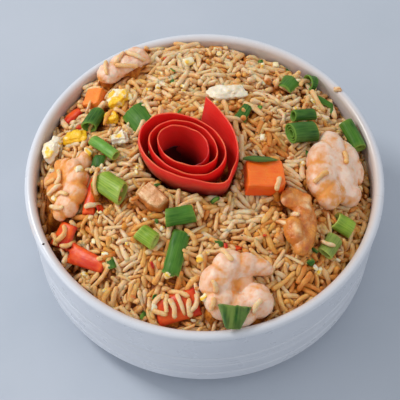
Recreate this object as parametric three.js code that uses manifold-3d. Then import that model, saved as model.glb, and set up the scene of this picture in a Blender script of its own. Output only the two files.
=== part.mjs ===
// Fried rice heaped in a round bowl, with a peel rose, prawns, egg, chicken, carrot, pepper and
// spring onion on top. Millimetres, +Z up, origin at the centre of the bowl's underside, -Y to the eater.
import * as THREE from 'three';
import { mergeVertices } from 'three/addons/utils/BufferGeometryUtils.js';
import Module from 'manifold-3d';

// ---- Driving dimensions -------------------------------------------------------------------------

const GAP = 0.35; // clearance between pieces that touch
const ROUND_SEGMENTS = 36; // sides of the bowl and of the heap

// Bowl
const RIM_RADIUS = 90;
const BOWL_HEIGHT = 66;
const LIP_BAND = 3; // height of the slightly proud band under the lip
const LIP_PROUD = 0.6;
const WALL_TAPER = 0.036; // loss of radius per millimetre down the outer wall
const INNER_TAPER = 0.04;
const WALL = 5.2;
const OUTER_CORNER = 16;
const INNER_CORNER = 14;
const FLOOR_HEIGHT = 7; // inside floor above the table
const FOOT_RADIUS = 67;
const FOOT_INNER_RADIUS = 60;
const FOOT_HEIGHT = 2;
const GROOVE_TOP = 40; // height of the highest of the turned grooves
const GROOVE_PITCH = 6;
const GROOVE_COUNT = 4;
const GROOVE_DEPTH = 0.5;
const GROOVE_HALF_WIDTH = 0.8;

// Heap of rice
const CROWN = 82; // height of the heap's middle
const EDGE_LEVEL = 59; // mean height of the rice along the wall
const HEAP_RINGS = [0.94, 0.83, 0.7, 0.56, 0.4, 0.2];

// Rose rolled from one strip of peel: an oval coil whose outer end stands off as a loose petal
const ROSE_X = -9.5;
const ROSE_Y = 2;
const ROSE_BASE = 77.5;
const ROSE_STRIP = 13.5; // width of the strip, which stands on edge
const ROSE_TURNS = 3.1;
const ROSE_STEPS_PER_TURN = 20;
const ROSE_OUTER = 27.2; // long half-axis of the coil at the strip's outer end
const ROSE_PITCH = 4.9; // how much the long half-axis loses per turn
const ROSE_OVAL = 0.725; // short half-axis over long half-axis
const ROSE_LONG_AXIS = -32; // direction of the long axis, degrees
const ROSE_START = 99; // where round the oval the outer end lies, degrees
const ROSE_FLARE = 13.5; // how far the outer end stands off the coil
const ROSE_FLARE_TURN = 0.085; // share of a turn over which it comes back
const ROSE_FOLD = 3.6; // height of the crease where the petal folds in
const ROSE_FOLD_TURN = 0.335; // where that crease is
const ROSE_SKIN = 1.5; // thickness of the peel
const ROSE_BELLY = 1.2; // how far the strip bulges at mid height

// Toppings
const CURL_SQUASH = 0.85; // height over width of a prawn's body
const TROUGH = 8; // how far the hollow of a flat piece goes on above its middle

const MATERIAL = {
  glaze: { color: 0xe9ecf1, roughness: 0.16 },
  rice: { color: 0xd8b98c, roughness: 0.45 },
  peel: { color: 0xc4161a, roughness: 0.3 },
  carrot: { color: 0xf2741a, roughness: 0.35 },
  pepper: { color: 0xc63a1c, roughness: 0.3 },
  prawn: { color: 0xeab898, roughness: 0.35 },
  chicken: { color: 0xcf8a45, roughness: 0.5 },
  egg: { color: 0xf1d36c, roughness: 0.45 },
  onion: { color: 0x4c8a38, roughness: 0.35 },
  onion_pale: { color: 0x92bf45, roughness: 0.35 },
  leaf: { color: 0x1f5a2b, roughness: 0.4 },
};
for (const [name, finish] of Object.entries(MATERIAL)) {
  MATERIAL[name] = new THREE.MeshStandardMaterial({ name, metalness: 0, ...finish });
}

const group = new THREE.Group();
const UP = new THREE.Vector3(0, 0, 1);
const rad = THREE.MathUtils.degToRad;
const bump = (u, middle, width) => Math.exp(-(((u - middle) / width) ** 2));
const wasm = await Module();
wasm.setup();

// ---- Solids and booleans ------------------------------------------------------------------------

function weld(geometry) {
  const bare = geometry.index ? geometry.clone() : mergeVertices(geometry);
  bare.deleteAttribute('normal');
  bare.deleteAttribute('uv');
  return mergeVertices(bare, 1e-4);
}

function toSolid(geometry) {
  const welded = weld(geometry);
  return new wasm.Manifold(new wasm.Mesh({
    numProp: 3,
    vertProperties: new Float32Array(welded.attributes.position.array),
    triVerts: new Uint32Array(welded.index.array),
  }));
}

function toGeometry(solid) {
  const mesh = solid.getMesh();
  const geometry = new THREE.BufferGeometry();
  geometry.setAttribute('position', new THREE.BufferAttribute(mesh.vertProperties, 3));
  geometry.setIndex(new THREE.BufferAttribute(mesh.triVerts, 1));
  geometry.computeVertexNormals();
  return geometry;
}

// A closed body through a row of equal sections, each an array of Vector3 running anticlockwise
// as seen from the end of the row.
function loft(sections) {
  const count = sections[0].length;
  const total = (section) => section.reduce((sum, p) => sum.add(p), new THREE.Vector3());
  const middle = (section) => total(section).divideScalar(count);
  const points = [...sections.flat(), middle(sections[0]), middle(sections.at(-1))];
  const index = [];
  const last = (sections.length - 1) * count;
  for (let s = 0; s < last; s += count) {
    for (let i = 0; i < count; i += 1) {
      const j = (i + 1) % count;
      index.push(s + i, s + j, s + count + i);
      index.push(s + j, s + count + j, s + count + i);
    }
  }
  for (let i = 0; i < count; i += 1) {
    const j = (i + 1) % count;
    index.push(points.length - 2, j, i);
    index.push(points.length - 1, last + i, last + j);
  }
  const geometry = new THREE.BufferGeometry().setFromPoints(points);
  geometry.setIndex(index);
  geometry.computeVertexNormals();
  return geometry;
}

// ---- Bowl ---------------------------------------------------------------------------------------

const outerRadius = (z) => RIM_RADIUS - LIP_PROUD - WALL_TAPER * (BOWL_HEIGHT - LIP_BAND - z);
const innerRadius = (z) => RIM_RADIUS - WALL - INNER_TAPER * (BOWL_HEIGHT - z);

function arc(cx, cy, radius, from, to, steps) {
  const points = [];
  for (let i = 0; i <= steps; i += 1) {
    const angle = rad(from + ((to - from) * i) / steps);
    points.push(new THREE.Vector2(cx + radius * Math.cos(angle), cy + radius * Math.sin(angle)));
  }
  return points;
}

// The inside of the bowl from the floor's middle up to the height top, drawn in by inset.
function innerProfile(top, inset) {
  const cornerTop = FLOOR_HEIGHT + INNER_CORNER;
  const cornerX = innerRadius(cornerTop) - INNER_CORNER;
  return [
    new THREE.Vector2(0, FLOOR_HEIGHT + inset),
    ...arc(cornerX, cornerTop, INNER_CORNER - inset, -90, 0, 3),
    new THREE.Vector2(innerRadius(top) - inset, top),
  ];
}

function lathe(profile) {
  return new THREE.LatheGeometry(profile, ROUND_SEGMENTS).rotateX(Math.PI / 2);
}

function bowlGeometry() {
  const cornerTop = FOOT_HEIGHT + OUTER_CORNER;
  const lipRadius = WALL / 2;
  const outside = [
    new THREE.Vector2(0, FOOT_HEIGHT / 2),
    new THREE.Vector2(FOOT_INNER_RADIUS, FOOT_HEIGHT / 2),
    new THREE.Vector2(FOOT_INNER_RADIUS + 1, 0),
    new THREE.Vector2(FOOT_RADIUS, 0),
    new THREE.Vector2(FOOT_RADIUS + 1, FOOT_HEIGHT),
    ...arc(outerRadius(cornerTop) - OUTER_CORNER, cornerTop, OUTER_CORNER, -90, 0, 3),
  ];
  for (let i = GROOVE_COUNT - 1; i >= 0; i -= 1) {
    const z = GROOVE_TOP - i * GROOVE_PITCH;
    outside.push(new THREE.Vector2(outerRadius(z - GROOVE_HALF_WIDTH), z - GROOVE_HALF_WIDTH));
    outside.push(new THREE.Vector2(outerRadius(z) - GROOVE_DEPTH, z));
    outside.push(new THREE.Vector2(outerRadius(z + GROOVE_HALF_WIDTH), z + GROOVE_HALF_WIDTH));
  }
  outside.push(new THREE.Vector2(outerRadius(BOWL_HEIGHT - LIP_BAND), BOWL_HEIGHT - LIP_BAND));
  const lip = arc(RIM_RADIUS - lipRadius, BOWL_HEIGHT - lipRadius, lipRadius, 0, 180, 4);
  const inside = innerProfile(BOWL_HEIGHT - 2 * lipRadius, 0).reverse();
  return lathe([...outside, ...lip, ...inside]);
}

// ---- Heap of rice -------------------------------------------------------------------------------

// Height of the rice along the wall, which rises and falls round the bowl.
function edgeLevel(angle) {
  return EDGE_LEVEL
    + 2.5 * Math.cos(2 * (angle - rad(102)))
    + 0.8 * Math.cos(4 * (angle - rad(33)))
    + 0.9 * Math.cos(5 * (angle + rad(34)));
}

// Height of the heap's surface: a shallow dome from the wall to the crown, with soft lumps.
function heap(x, y) {
  const edge = edgeLevel(Math.atan2(y, x));
  const share = Math.min(1, Math.hypot(x, y) / (innerRadius(EDGE_LEVEL) - GAP));
  const lumps = 1.3 * Math.sin(x / 11 + 1.3) * Math.cos(y / 13 - 0.4) + 0.8 * Math.sin((x + y) / 7.5 + 0.5);
  return edge + (CROWN - edge) * (1 - share ** 2) + lumps * (1 - share ** 4);
}

function heapNormal(x, y) {
  const step = 3;
  const slopeX = (heap(x + step, y) - heap(x - step, y)) / (2 * step);
  const slopeY = (heap(x, y + step) - heap(x, y - step)) / (2 * step);
  return new THREE.Vector3(-slopeX, -slopeY, 1).normalize();
}

// The profile's wall point is moved to the local edge level and the rings above it to the surface.
function heapGeometry() {
  const wall = innerProfile(EDGE_LEVEL, GAP);
  const rim = wall.at(-1).x;
  const rings = HEAP_RINGS.map((share) => new THREE.Vector2(rim * share, CROWN));
  const geometry = lathe([...wall, ...rings, new THREE.Vector2(0, CROWN)]);
  const position = geometry.attributes.position;
  for (let i = 0; i < position.count; i += 1) {
    if (position.getZ(i) > EDGE_LEVEL - 1) {
      position.setZ(i, heap(position.getX(i), position.getY(i)));
    }
  }
  return geometry;
}

// ---- Shapes of the toppings: each takes grow, the clearance for the hollow it leaves in the rice --

// A cut length of open stem lying along X, flattened by squash. Its hollow has fewer sides, so its
// radius is raised until the flats clear the piece.
function stem({ length, radius, squash = 0.85, skin = 1.1 }, grow) {
  const curveSegments = grow === 0 ? 5 : 3;
  const outer = (radius + grow) / (grow === 0 ? 1 : Math.cos(Math.PI / 6));
  const outline = new THREE.Shape();
  outline.absellipse(0, 0, outer * squash, outer, 0, 2 * Math.PI);
  if (grow === 0) {
    const bore = new THREE.Path();
    bore.absellipse(0, 0, radius * squash - skin, radius - skin, 0, 2 * Math.PI);
    outline.holes.push(bore);
  }
  const options = { depth: length + 2 * grow, bevelEnabled: false, curveSegments };
  const geometry = new THREE.ExtrudeGeometry(outline, options);
  return geometry.translate(0, 0, -length / 2 - grow).rotateY(Math.PI / 2);
}

// A leaf or strip lying flat, domed across its width and narrowed towards its +X end by taper. Its
// hollow is a plain trough, open at the top.
function strip({ length, width, thick = 1.3, dome = 1, taper = 0 }, grow) {
  const steps = grow === 0 ? 4 : 1;
  const bulge = grow === 0 ? dome : 0;
  const under = grow === 0 ? -thick / 2 : -thick / 2 - dome - grow;
  const over = grow === 0 ? thick / 2 : TROUGH;
  const sections = [-1, 0, 1].map((end) => {
    const across = (width / 2 + grow) * (1 - (taper * (end + 1)) / 2);
    const edge = (z, u) => new THREE.Vector3(end * (length / 2 + grow), u * across, z - bulge * u * u);
    const lower = Array.from({ length: steps + 1 }, (_, i) => edge(under, -1 + (2 * i) / steps));
    const upper = Array.from({ length: steps + 1 }, (_, i) => edge(over, 1 - (2 * i) / steps));
    return [...lower, ...upper];
  });
  return loft(sections);
}

// A knife-cut chunk: a slab with one corner sliced off and its top drawn in.
function chunk({ length, width, thick, slice = 0.25, draw = 0.12 }, grow) {
  const hx = length / 2 + grow;
  const hy = width / 2 + grow;
  const outline = new THREE.Shape();
  outline.moveTo(-hx, -hy);
  outline.lineTo(hx * (1 - 2 * slice), -hy);
  outline.lineTo(hx, -hy * (1 - 2 * slice));
  outline.lineTo(hx * 0.96, hy);
  outline.lineTo(-hx * 0.94, hy * 0.97);
  outline.closePath();
  const depth = grow === 0 ? thick : thick / 2 + grow + TROUGH;
  const geometry = new THREE.ExtrudeGeometry(outline, { depth, bevelEnabled: false });
  geometry.translate(0, 0, -thick / 2 - grow);
  const position = geometry.attributes.position;
  for (let i = 0; i < position.count; i += 1) {
    const shrink = grow === 0 && position.getZ(i) > 0 ? 1 - draw : 1;
    position.setXY(i, position.getX(i) * shrink, position.getY(i) * shrink);
  }
  return geometry;
}

// An uneven curd or torn piece; phase sets where its lumps lie.
function curd({ length, width, thick, phase }, grow) {
  const geometry = weld(new THREE.IcosahedronGeometry(1, grow === 0 ? 2 : 1));
  const clear = grow === 0 ? 1 : 1.13;
  const position = geometry.attributes.position;
  const p = new THREE.Vector3();
  for (let i = 0; i < position.count; i += 1) {
    p.fromBufferAttribute(position, i).normalize();
    const broad = 0.14 * Math.sin(4 * p.x + phase) * Math.cos(3 * p.y - phase);
    const fine = 0.08 * Math.sin(6 * p.z + 2 * phase);
    p.multiplyScalar((1 + broad + fine) * clear);
    position.setXYZ(i, p.x * (length / 2 + grow), p.y * (width / 2 + grow), p.z * (thick / 2 + grow));
  }
  return geometry;
}

// A peeled prawn, or a like piece, curled about Z: its body follows an arc, its girth swells from
// start to waist, which lies at a share of its length, and falls to end, and stretch draws the whole
// curl out along Y. Its hollow has fewer sides, so its girth is raised until the flats clear it.
function curl({ radius, from, to, start, waist, end, waistAt = 0.5, stretch = 1, rings = 5 }, grow) {
  const sides = grow === 0 ? 8 : 6;
  const steps = 10;
  const clear = grow === 0 ? 1 : 1.02 / Math.cos(Math.PI / sides);
  const sweep = rad(to - from);
  const extra = (Math.sign(sweep) * grow) / radius;
  const sections = [];
  const middle = new THREE.Vector3();
  for (let s = 0; s <= steps; s += 1) {
    const u = s / steps;
    const angle = rad(from) + sweep * u + extra * (2 * u - 1);
    const closing = Math.sqrt(1 - 0.82 * Math.abs(2 * u - 1) ** 6);
    const nearest = u < waistAt ? start : end;
    const v = u < waistAt ? u / waistAt : (1 - u) / (1 - waistAt);
    const swell = nearest + (waist - nearest) * Math.sin((Math.PI / 2) * v);
    const girth = (swell * (1 + 0.03 * Math.cos(2 * Math.PI * rings * u)) * closing + grow) * clear;
    const outward = new THREE.Vector3(Math.cos(angle), Math.sin(angle), 0);
    middle.addScaledVector(outward, radius / (steps + 1));
    const section = [];
    for (let i = 0; i < sides; i += 1) {
      const a = (-Math.sign(sweep) * 2 * Math.PI * i) / sides;
      const point = outward.clone().multiplyScalar(radius + girth * Math.cos(a));
      point.z = girth * CURL_SQUASH * Math.sin(a);
      section.push(point);
    }
    sections.push(section);
  }
  return loft(sections).translate(-middle.x, -middle.y, 0).scale(1, stretch, 1);
}

// ---- Rose ---------------------------------------------------------------------------------------

// A point on the strip after some turns: share is its place up the strip's width and out its
// distance from the strip's middle layer. The foot of the loose petal stays nearer to the coil.
function coilPoint(turn, share, out) {
  const angle = rad(ROSE_START) - 2 * Math.PI * turn;
  const flare = ROSE_FLARE * Math.exp(-turn / ROSE_FLARE_TURN);
  const fold = ROSE_FOLD * bump(turn, ROSE_FOLD_TURN, 0.045);
  const half = ROSE_OUTER - ROSE_PITCH * turn + fold + flare * (0.4 + 0.6 * share);
  const belly = out + ROSE_BELLY * (4 * share * (1 - share) - 0.6 * (1 - share));
  const x = (half + belly) * Math.cos(angle);
  const y = (half * ROSE_OVAL + belly) * Math.sin(angle);
  return new THREE.Vector3(x, y, share * ROSE_STRIP).applyAxisAngle(UP, rad(ROSE_LONG_AXIS));
}

function roseGeometry() {
  const steps = Math.round(ROSE_TURNS * ROSE_STEPS_PER_TURN);
  const sections = [];
  for (let s = 0; s <= steps; s += 1) {
    const turn = (ROSE_TURNS * s) / steps;
    const side = (out) => [0, 0.45, 1].map((share) => coilPoint(turn, share, out));
    sections.push([...side(-ROSE_SKIN / 2).reverse(), ...side(ROSE_SKIN / 2)]);
  }
  return loft(sections);
}

// The bed that the rose leaves: its outermost turn, filled in.
function roseBed() {
  const out = ROSE_BELLY + ROSE_SKIN / 2 + GAP;
  const outline = [];
  for (let s = -1; s <= ROSE_STEPS_PER_TURN; s += 1) {
    const p = coilPoint(s / ROSE_STEPS_PER_TURN, 0.5, out);
    outline.push(new THREE.Vector2(p.x, p.y));
  }
  const options = { depth: 2 * ROSE_STRIP, bevelEnabled: false };
  return new THREE.ExtrudeGeometry(new THREE.Shape(outline), options).translate(0, 0, -GAP);
}

// ---- Placing ------------------------------------------------------------------------------------

const hollows = [];

// Puts a topping on the heap at x, y: lift is its middle above the surface, yaw turns it about the
// surface's normal, and lean and roll tip it along and across its own length.
function seat(object, { x, y, lift, yaw = 0, lean = 0, roll = 0 }) {
  const along = new THREE.Quaternion().setFromUnitVectors(UP, heapNormal(x, y));
  const turn = new THREE.Euler(rad(roll), rad(lean), rad(yaw), 'ZYX');
  const turned = new THREE.Quaternion().setFromEuler(turn);
  object.position.set(x, y, heap(x, y) + lift);
  object.quaternion.copy(along.multiply(turned));
  object.updateMatrixWorld(true);
}

function addTopping(name, material, shape, size, place) {
  const mesh = new THREE.Mesh(shape(size, 0), MATERIAL[material]);
  mesh.name = name;
  seat(mesh, place);
  group.add(mesh);
  hollows.push(toSolid(shape(size, GAP).applyMatrix4(mesh.matrixWorld)));
}

const rose = new THREE.Mesh(roseGeometry(), MATERIAL.peel);
rose.name = 'peel_rose';
rose.position.set(ROSE_X, ROSE_Y, ROSE_BASE);
group.add(rose);
hollows.push(toSolid(roseBed().translate(ROSE_X, ROSE_Y, ROSE_BASE)));

// Prawns
addTopping('prawn_right', 'prawn', curl,
  { radius: 10.6, from: 268, to: -4, start: 6.6, waist: 8.6, end: 4.6, waistAt: 0.18, stretch: 1.32 },
  { x: 66.2, y: 0, lift: 2, yaw: -2 });
addTopping('prawn_front', 'prawn', curl,
  { radius: 10.6, from: 36, to: 352, start: 6.2, waist: 8, end: 7.4 }, { x: 16, y: -65, lift: 1.4 });
addTopping('prawn_back', 'prawn', curl,
  { radius: 60, from: 111, to: 139.5, start: 6, waist: 6.6, end: 5.6 }, { x: -42, y: 63.2, lift: 6.4 });
addTopping('prawn_left', 'prawn', curl,
  { radius: 9.6, from: 106, to: -98, start: 5, waist: 6.3, end: 5.2, stretch: 1.2 },
  { x: -68, y: -8.5, lift: 1.6, yaw: -8 });

// Chicken
addTopping('chicken_curl', 'chicken', curl,
  { radius: 9.8, from: 88, to: -76, start: 4.2, waist: 5, end: 4.6, stretch: 1.42, rings: 0 },
  { x: 44.9, y: -30, lift: 0.8 });
addTopping('chicken_seared', 'chicken', chunk,
  { length: 14.5, width: 9.8, thick: 9, slice: 0.3 }, { x: -25, y: -21, lift: 0, yaw: -48, lean: 8 });

// Egg
addTopping('egg_white_back', 'egg', curd,
  { length: 22, width: 12, thick: 7, phase: 0.4 }, { x: 12, y: 43.5, lift: 1, yaw: 6 });
addTopping('egg_curd_back', 'egg', curd,
  { length: 13, width: 11, thick: 7, phase: 1.7 }, { x: -43.9, y: 42.6, lift: 1.2, yaw: 30 });
addTopping('egg_yolk_back', 'egg', curd,
  { length: 9, width: 7, thick: 6, phase: 2.6 }, { x: -46.5, y: 31.2, lift: 1, yaw: -10 });
addTopping('egg_yolk_left', 'egg', curd,
  { length: 15.5, width: 8, thick: 6, phase: 3.9 }, { x: -65.7, y: 22.6, lift: 1, yaw: -10 });
addTopping('egg_white_left', 'egg', curd,
  { length: 15.5, width: 8.6, thick: 7, phase: 5.1 }, { x: -77.4, y: 16.6, lift: 5, yaw: 70 });
addTopping('egg_curd_middle', 'egg', curd,
  { length: 9, width: 9.5, thick: 6, phase: 0.9 }, { x: -42.2, y: 17, lift: 0.6 });

// Carrot
addTopping('carrot_slab', 'carrot', chunk,
  { length: 19.5, width: 17, thick: 8, slice: 0.16, draw: 0.03 },
  { x: 29.1, y: -10.2, lift: 2, yaw: 4, lean: -9 });
addTopping('carrot_cube', 'carrot', chunk,
  { length: 10, width: 11.5, thick: 8, slice: 0.1, draw: 0.06 },
  { x: -56.2, y: 46.4, lift: 0.8, yaw: -14 });

// Pepper
addTopping('pepper_chip_back', 'pepper', strip,
  { length: 10, width: 7, thick: 2.4, dome: 1 }, { x: -68.2, y: 39.6, lift: 0.8, yaw: 38, roll: -14 });
addTopping('pepper_strip_left', 'pepper', strip,
  { length: 20, width: 4.8, thick: 2.4, dome: 0.8, taper: 0.2 },
  { x: -55.7, y: -14.4, lift: 0.3, yaw: 79 });
addTopping('pepper_piece_left', 'pepper', strip,
  { length: 13, width: 11.5, thick: 2.6, dome: 1.2, taper: 0.15 },
  { x: -69.2, y: -32, lift: 0.8, yaw: 60 });
addTopping('pepper_strip_front_left', 'pepper', strip,
  { length: 20.5, width: 8.6, thick: 3, dome: 2, taper: 0.3 }, { x: -57.3, y: -46.4, lift: 1, yaw: -28 });
addTopping('pepper_front', 'pepper', strip,
  { length: 21, width: 13.5, thick: 2.6, dome: 1.2 }, { x: -13.2, y: -72.9, lift: 0.3, yaw: 14 });

// Spring onion, cut lengths with an open bore
const STEMS = {
  onion_tube_back_left: [{ length: 11, radius: 4.3 }, { x: -56.3, y: 30.6, lift: 2.8, yaw: 72, lean: 6 }],
  onion_tube_thin: [{ length: 17, radius: 2.9, skin: 0.9 }, { x: -49.8, y: 10, lift: 2.2, yaw: -44 }],
  onion_tube_bent: [{ length: 13, radius: 4.6, squash: 0.7 }, { x: -11.8, y: -31.8, lift: 2, yaw: 9 }],
  onion_tube_back_right: [
    { length: 12, radius: 3.1, skin: 0.9 },
    { x: 50.4, y: 32.2, lift: 2.4, yaw: 20 },
  ],
  onion_tube_fat: [{ length: 14.4, radius: 5.5, squash: 0.72 }, { x: 49.4, y: 20, lift: 3.4, yaw: 22 }],
  onion_tube_right: [{ length: 15.5, radius: 4 }, { x: 75.4, y: 24.7, lift: 5.4, yaw: -63 }],
  onion_ring_back: [{ length: 3.2, radius: 4.6 }, { x: 55.6, y: 57.6, lift: 3.2, yaw: 12, lean: 6 }],
  onion_tube_dull: [
    { length: 10.5, radius: 4.2, squash: 0.6 },
    { x: 60.8, y: -40.4, lift: 1.2, yaw: 58 },
  ],
};
for (const [name, [size, place]] of Object.entries(STEMS)) {
  addTopping(name, 'onion', stem, size, place);
}

// Spring onion from near the root, paler
const PALE_STEMS = {
  onion_pale_big: [
    { length: 14, radius: 5.9, squash: 0.78, skin: 1.3 },
    { x: -45.2, y: -13.2, lift: 3.2, yaw: -40 },
  ],
  onion_pale_block: [
    { length: 8.6, radius: 4.4, squash: 0.8, skin: 1.3 },
    { x: -27.4, y: -41, lift: 2.4, yaw: -38 },
  ],
  onion_pale_right: [
    { length: 9.5, radius: 4.5, squash: 0.8, skin: 1.3 },
    { x: 68.2, y: -28, lift: 2, yaw: -22 },
  ],
};
for (const [name, [size, place]] of Object.entries(PALE_STEMS)) {
  addTopping(name, 'onion_pale', stem, size, place);
}

// Spring onion opened out flat
const FLATS = {
  onion_flat_back: [{ length: 13.5, width: 12.6, dome: 1.8 }, { x: -34, y: 28.2, lift: 1.6, yaw: -57 }],
  onion_flat_long: [
    { length: 22, width: 8.8, dome: 1.2 },
    { x: -13.6, y: -48.6, lift: 1.6, yaw: 75, lean: 2 },
  ],
  onion_flat_dark: [{ length: 7, width: 6.5, dome: 0.6 }, { x: -53, y: 4, lift: 0.6, yaw: 70 }],
  onion_flat_back_right: [
    { length: 13, width: 10.5, dome: 1.6, taper: 0.3 },
    { x: 44.4, y: 56.2, lift: 1.6, yaw: -118 },
  ],
  onion_flat_right: [
    { length: 12.5, width: 5.6, dome: 1.2, taper: 0.2 },
    { x: 61.4, y: 47.4, lift: 1.2, yaw: -14 },
  ],
  onion_flat_chip: [
    { length: 10.5, width: 6.6, dome: 1, taper: 0.3 },
    { x: 20, y: 29.6, lift: 1, yaw: 64, roll: 10 },
  ],
};
for (const [name, [size, place]] of Object.entries(FLATS)) {
  addTopping(name, 'onion', strip, size, place);
}

// Leaves
addTopping('leaf_sliver', 'leaf', strip,
  { length: 17, width: 3.4, thick: 1.1, dome: 0.5, taper: 0.5 },
  { x: 27.2, y: -2.4, lift: 7.4, yaw: 5, lean: -8 });
addTopping('leaf_front', 'leaf', strip,
  { length: 10.8, width: 16, thick: 1.2, dome: 1.4, taper: 0.56 },
  { x: 13.6, y: -81.8, lift: 10.8, yaw: -94, lean: 7 });

// ---- Bowl and rice ------------------------------------------------------------------------------

const bowl = new THREE.Mesh(bowlGeometry(), MATERIAL.glaze);
bowl.name = 'bowl';
group.add(bowl);

const heapSolid = hollows.reduce((solid, hollow) => solid.subtract(hollow), toSolid(heapGeometry()));
const rice = new THREE.Mesh(toGeometry(heapSolid), MATERIAL.rice);
rice.name = 'rice';
group.add(rice);

export default group;
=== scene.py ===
"""Looks of the bowl of fried rice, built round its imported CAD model.

Sizes in the classes are millimetres in the part's own frame: +Z up, origin at the middle of the
bowl's foot ring, -Y towards the eater. They become metres when a mesh is made.
"""

import logging
import math
from dataclasses import dataclass, field, replace
from enum import Enum

import bmesh
import bpy
import numpy as np
from mathutils import Matrix, Vector, noise
from mathutils.bvhtree import BVHTree
from mathutils.kdtree import KDTree

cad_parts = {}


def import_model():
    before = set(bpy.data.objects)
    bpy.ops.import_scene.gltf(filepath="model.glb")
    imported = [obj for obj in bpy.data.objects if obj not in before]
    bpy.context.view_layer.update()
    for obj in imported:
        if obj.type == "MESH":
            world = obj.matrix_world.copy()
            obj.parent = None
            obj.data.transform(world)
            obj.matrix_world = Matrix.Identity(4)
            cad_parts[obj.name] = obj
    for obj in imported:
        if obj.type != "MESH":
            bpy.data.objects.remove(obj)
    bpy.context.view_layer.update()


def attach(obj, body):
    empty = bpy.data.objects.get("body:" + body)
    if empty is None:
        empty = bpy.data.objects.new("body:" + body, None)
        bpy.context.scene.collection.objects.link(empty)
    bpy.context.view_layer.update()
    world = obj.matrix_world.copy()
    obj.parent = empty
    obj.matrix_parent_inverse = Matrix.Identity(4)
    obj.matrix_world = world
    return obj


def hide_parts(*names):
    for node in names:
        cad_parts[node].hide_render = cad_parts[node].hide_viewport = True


LOG = logging.getLogger("fried_rice")
MM = 0.001
BODY = "root"
SKY = 300.0  # a height well above the dish, from which rays look down
UP = Vector((0, 0, 1))
DOWN = Vector((0, 0, -1))

Colour = tuple[float, float, float]
Faces = list[tuple[int, ...]]
Masks = dict[str, np.ndarray]
Socket = bpy.types.NodeSocket


def paint(colour: Colour) -> Colour:
    """Turns a colour as a screen shows it, 0 to 255, into linear light, 0 to 1."""
    shares = [channel / 255 for channel in colour]
    return tuple(s / 12.92 if s <= 0.04045 else ((s + 0.055) / 1.055) ** 2.4 for s in shares)


def smoothstep(values: np.ndarray, low: float, high: float) -> np.ndarray:
    """Rises smoothly from 0 where a value is low to 1 where it is high."""
    share = np.clip((values - low) / (high - low), 0, 1)
    return share * share * (3 - 2 * share)


def unit(vectors: np.ndarray) -> np.ndarray:
    """Scales each vector of the last axis to length 1."""
    return vectors / np.maximum(np.linalg.norm(vectors, axis=-1, keepdims=True), 1e-9)


def rough(points: np.ndarray, size: float, seed: float, octaves: int = 1) -> np.ndarray:
    """Gives smooth noise at each point, roughly from -1 to 1, in lumps as wide as size."""
    shift = Vector((11.3 * seed, -7.1 * seed, 3.7 * seed))
    return np.array([noise.fractal(Vector(p) / size + shift, 0.9, 2.1, octaves) for p in points])


def lay_map(across: np.ndarray, along: np.ndarray, layer: float | np.ndarray) -> np.ndarray:
    """Maps the millimetres across and along a piece, which its streaks follow."""
    return np.stack([across, along, np.full(across.shape, layer)], -1)


def bend(middle: tuple[float, float], radius: float, first: float, last: float, count: int) -> list[tuple]:
    """Lists points of a rounded corner in a section, from the first angle in degrees to the last."""
    angles = np.radians(np.linspace(first, last, count))
    return [(middle[0] + radius * math.cos(a), middle[1] + radius * math.sin(a)) for a in angles]


# ---- Meshes ----


@dataclass
class Shape:
    """A closed mesh in millimetres, with the masks that its finish reads at each point."""

    points: np.ndarray
    faces: Faces
    masks: Masks = field(default_factory=dict)

    def moved(self, matrix: Matrix) -> "Shape":
        """Carries the shape to another place by a turn and a shift."""
        points = self.points @ np.array(matrix.to_3x3()).T + np.array(matrix.translation)
        return Shape(points, self.faces, self.masks)

    def spans(self) -> list[tuple[np.ndarray, np.ndarray]]:
        """Lists the faces' corners by number of corners, each with its area and direction.

        Returns:
            One entry for each number of corners that a face has.
        """
        found = []
        for size in sorted({len(face) for face in self.faces}):
            ring = np.array([face for face in self.faces if len(face) == size])
            corner = self.points[ring]
            found.append((ring, np.cross(corner[:, 2] - corner[:, 0], corner[:, -1] - corner[:, 1])))
        return found

    def normals(self) -> np.ndarray:
        """Finds the outward normal at each point.

        Returns:
            One direction for each point.
        """
        found = np.zeros_like(self.points)
        for ring, across in self.spans():
            for column in range(ring.shape[1]):
                np.add.at(found, ring[:, column], across)
        return unit(found)

    def outward(self) -> "Shape":
        """Turns the faces round if they look inward.

        Returns:
            The shape with its faces looking outward.
        """
        volume = sum((self.points[ring].mean(1) * across).sum() for ring, across in self.spans())
        faces = self.faces if volume > 0 else [face[::-1] for face in self.faces]
        return Shape(self.points, faces, self.masks)

    def pushed(self, push: np.ndarray) -> "Shape":
        """Moves each point out along its normal by its own distance."""
        return Shape(self.points + self.normals() * push[:, None], self.faces, self.masks)

    def roughened(self, size: float, height: float, seed: float, octaves: int = 1) -> "Shape":
        """Raises and lowers the surface by smooth noise of a width and height."""
        return self.pushed(height * rough(self.points, size, seed, octaves))


def join(shapes: list[Shape]) -> Shape:
    """Puts several shapes with the same masks into one.

    Args:
        shapes: The shapes, at least one.

    Returns:
        One shape that holds them all.
    """
    starts = np.cumsum([0] + [len(shape.points) for shape in shapes[:-1]])
    faces = [tuple(i + int(s) for i in face) for shape, s in zip(shapes, starts) for face in shape.faces]
    masks = {key: np.concatenate([shape.masks[key] for shape in shapes]) for key in shapes[0].masks}
    return Shape(np.concatenate([shape.points for shape in shapes]), faces, masks)


def unpack(made: bmesh.types.BMesh) -> tuple[np.ndarray, Faces]:
    """Reads a mesh that was under work and frees it.

    Args:
        made: The mesh.

    Returns:
        Its points and faces.
    """
    made.verts.index_update()
    points = np.array([vertex.co for vertex in made.verts])
    faces = [tuple(vertex.index for vertex in face.verts) for face in made.faces]
    made.free()
    return points, faces


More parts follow.
